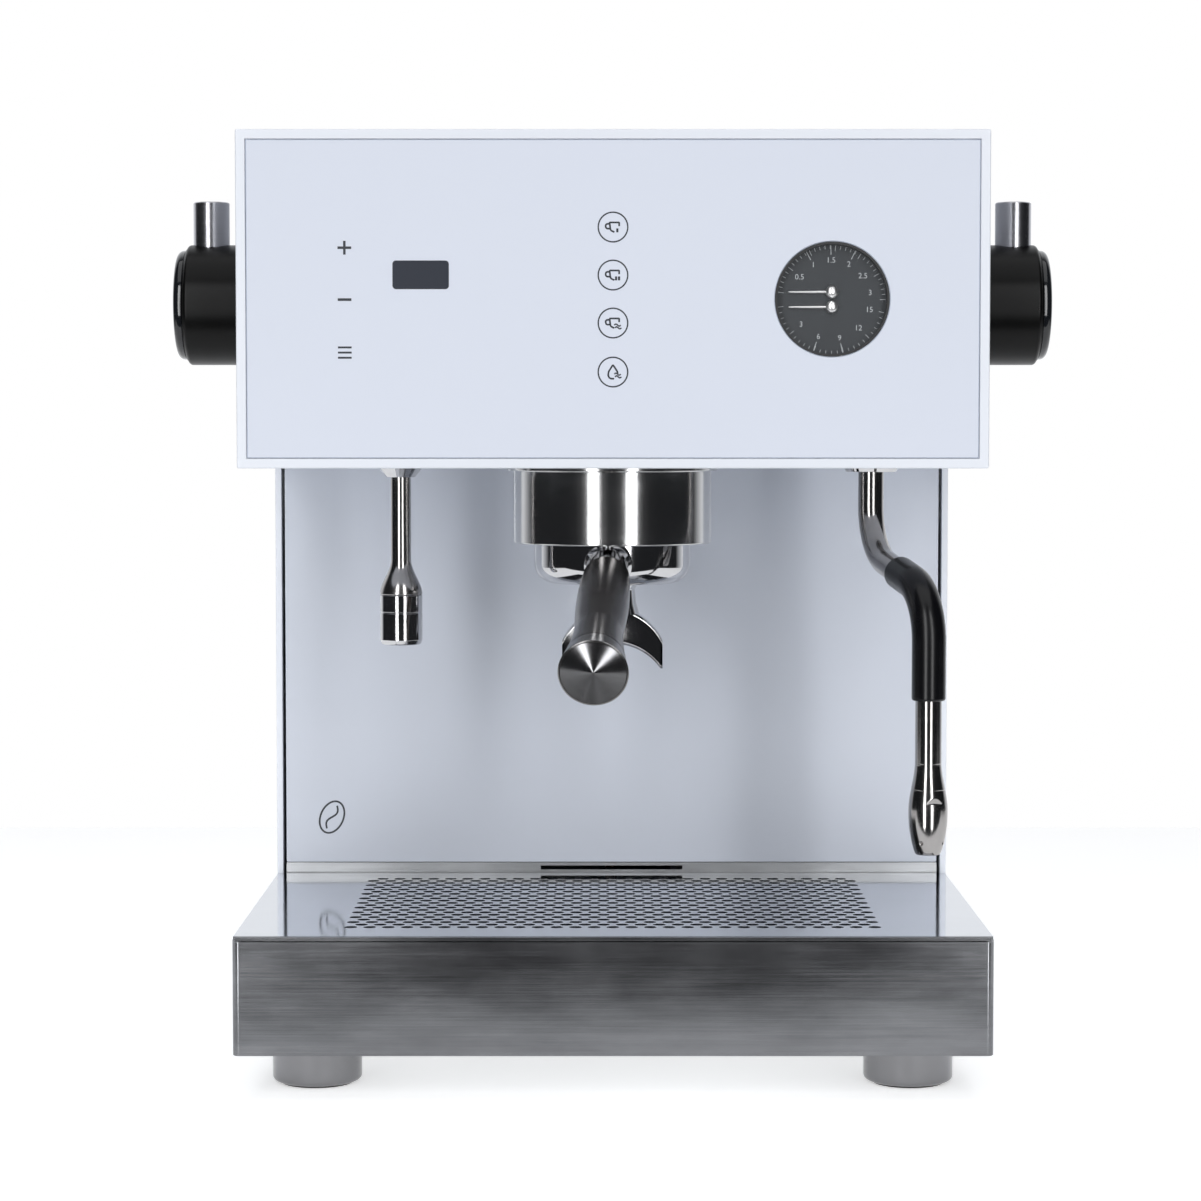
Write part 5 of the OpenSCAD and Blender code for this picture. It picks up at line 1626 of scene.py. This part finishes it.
@dataclass
class Studio:
    """Camera, floor, lamps and surroundings."""

    lens: float = 96.86
    pitch: float = math.radians(3.203)
    x: float = -5.46
    ahead: float = 1386.57
    height: float = 295.38
    floor_glow: float = 0.5

    def camera(self) -> None:
        """A long lens straight in front, looking a little down."""
        view = bpy.data.cameras.new("camera")
        view.lens, view.sensor_width = self.lens, 36.0
        holder = linked("camera", view)
        holder.location = tuple(spot(self.x, -self.ahead, self.height))
        holder.rotation_euler = (math.pi / 2 - self.pitch, 0, 0)
        bpy.context.scene.camera = holder

    def floor(self) -> None:
        """A plain pale floor."""
        graph = Graph("pale_floor")
        cloud = graph.noise(graph.local(), 3, 3)
        material = graph.finish(
            Base_Color=graph.blend(cloud, (0.90, 0.905, 0.91), (0.92, 0.925, 0.93)), Roughness=0.8,
            Emission_Color=(1.0, 1.0, 1.0), Emission_Strength=self.floor_glow)
        corner = np.array([[[-1.1, -0.40, 0], [1.1, -0.40, 0]], [[-1.1, 0.75, 0], [1.1, 0.75, 0]]])
        piece = Shape().grid(corner, closed_columns=False).made("floor", [material])

    def surroundings(self) -> None:
        """A white room behind the machine and a dim one in front, which polished metal shows as black."""
        world = bpy.data.worlds.new("studio")
        bpy.context.scene.world = world
        world.use_nodes = True
        tree = world.node_tree
        tree.nodes.clear()

        def add(kind: str, **settings: Any) -> Node:
            """Add one node with its properties."""
            made = tree.nodes.new(kind)
            for key, value in settings.items():
                setattr(made, key, value)
            return made

        where = add("ShaderNodeTexCoord")
        split = add("ShaderNodeSeparateXYZ")
        ramp = add("ShaderNodeValToRGB")
        rise = add("ShaderNodeMapRange")
        path = add("ShaderNodeLightPath")
        pick = add("ShaderNodeMix", data_type="RGBA")
        glow = add("ShaderNodeBackground")
        out = add("ShaderNodeOutputWorld")
        stops = ramp.color_ramp.elements
        stops[0].position, stops[0].color = 0.66, (0.02, 0.021, 0.023, 1)
        stops[1].position, stops[1].color = 0.80, (0.95, 0.97, 1.0, 1)
        rise.inputs["From Min"].default_value = -1
        rise.inputs["From Max"].default_value = 1
        pick.inputs[7].default_value = (1.0, 1.0, 1.0, 1)
        for source, target in (
                (where.outputs["Generated"], split.inputs[0]), (split.outputs["Y"], rise.inputs["Value"]),
                (rise.outputs[0], ramp.inputs[0]), (ramp.outputs[0], pick.inputs[6]),
                (path.outputs["Is Camera Ray"], pick.inputs[0]), (pick.outputs[2], glow.inputs["Color"]),
                (glow.outputs[0], out.inputs["Surface"])):
            tree.links.new(source, target)
        glow.inputs["Strength"].default_value = 1.0

    def lamps(self) -> None:
        """A wide overhead box and two tall strips beside the camera."""
        cool = (0.985, 0.99, 1.0)
        for box in (
                SoftBox("overhead", (0.0, -0.5, 2.3), (0.0, 0.0, 0.2), (2.6, 2.2), 20.0, cool),
                SoftBox("strip_left", (-0.78, -2.05, 0.62), (0.0, 0.0, 0.28), (0.40, 2.5), 26.0, cool),
                SoftBox("strip_right", (0.78, -2.05, 0.62), (0.0, 0.0, 0.28), (0.40, 2.5), 22.0, cool),
        ):
            box.build()

    def build(self) -> None:
        """Set up the studio."""
        self.camera()
        self.floor()
        self.surroundings()
        self.lamps()
        bpy.context.scene.view_settings.view_transform = "Standard"


# ---------------------------------------------------------------- main

def main() -> None:
    """Build the studio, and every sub-assembly and the finishes."""
    logging.basicConfig(level=logging.INFO, format="%(name)s: %(message)s")
    Studio().build()
    stock = stock_finishes()
    steam = Joint(118.9, 5.85, 8.65, 10, 2.5, 1)
    water = Joint(-97.3, 4.6, 6.6, 5, 5, 4)
    for part in (
            Casing(), ControlPanel(), Knob(1, "steam_knob", "steam_control"),
            Knob(-1, "water_knob", "water_control"), Group(), Portafilter(), SteamWand(steam),
            WaterSpout(water), TrayFront()):
        part.build(stock)
        LOG.info("%s is done", type(part).__name__)
    dress_frame(stock)
    bpy.context.view_layer.update()


if __name__ == "__main__":
    main()
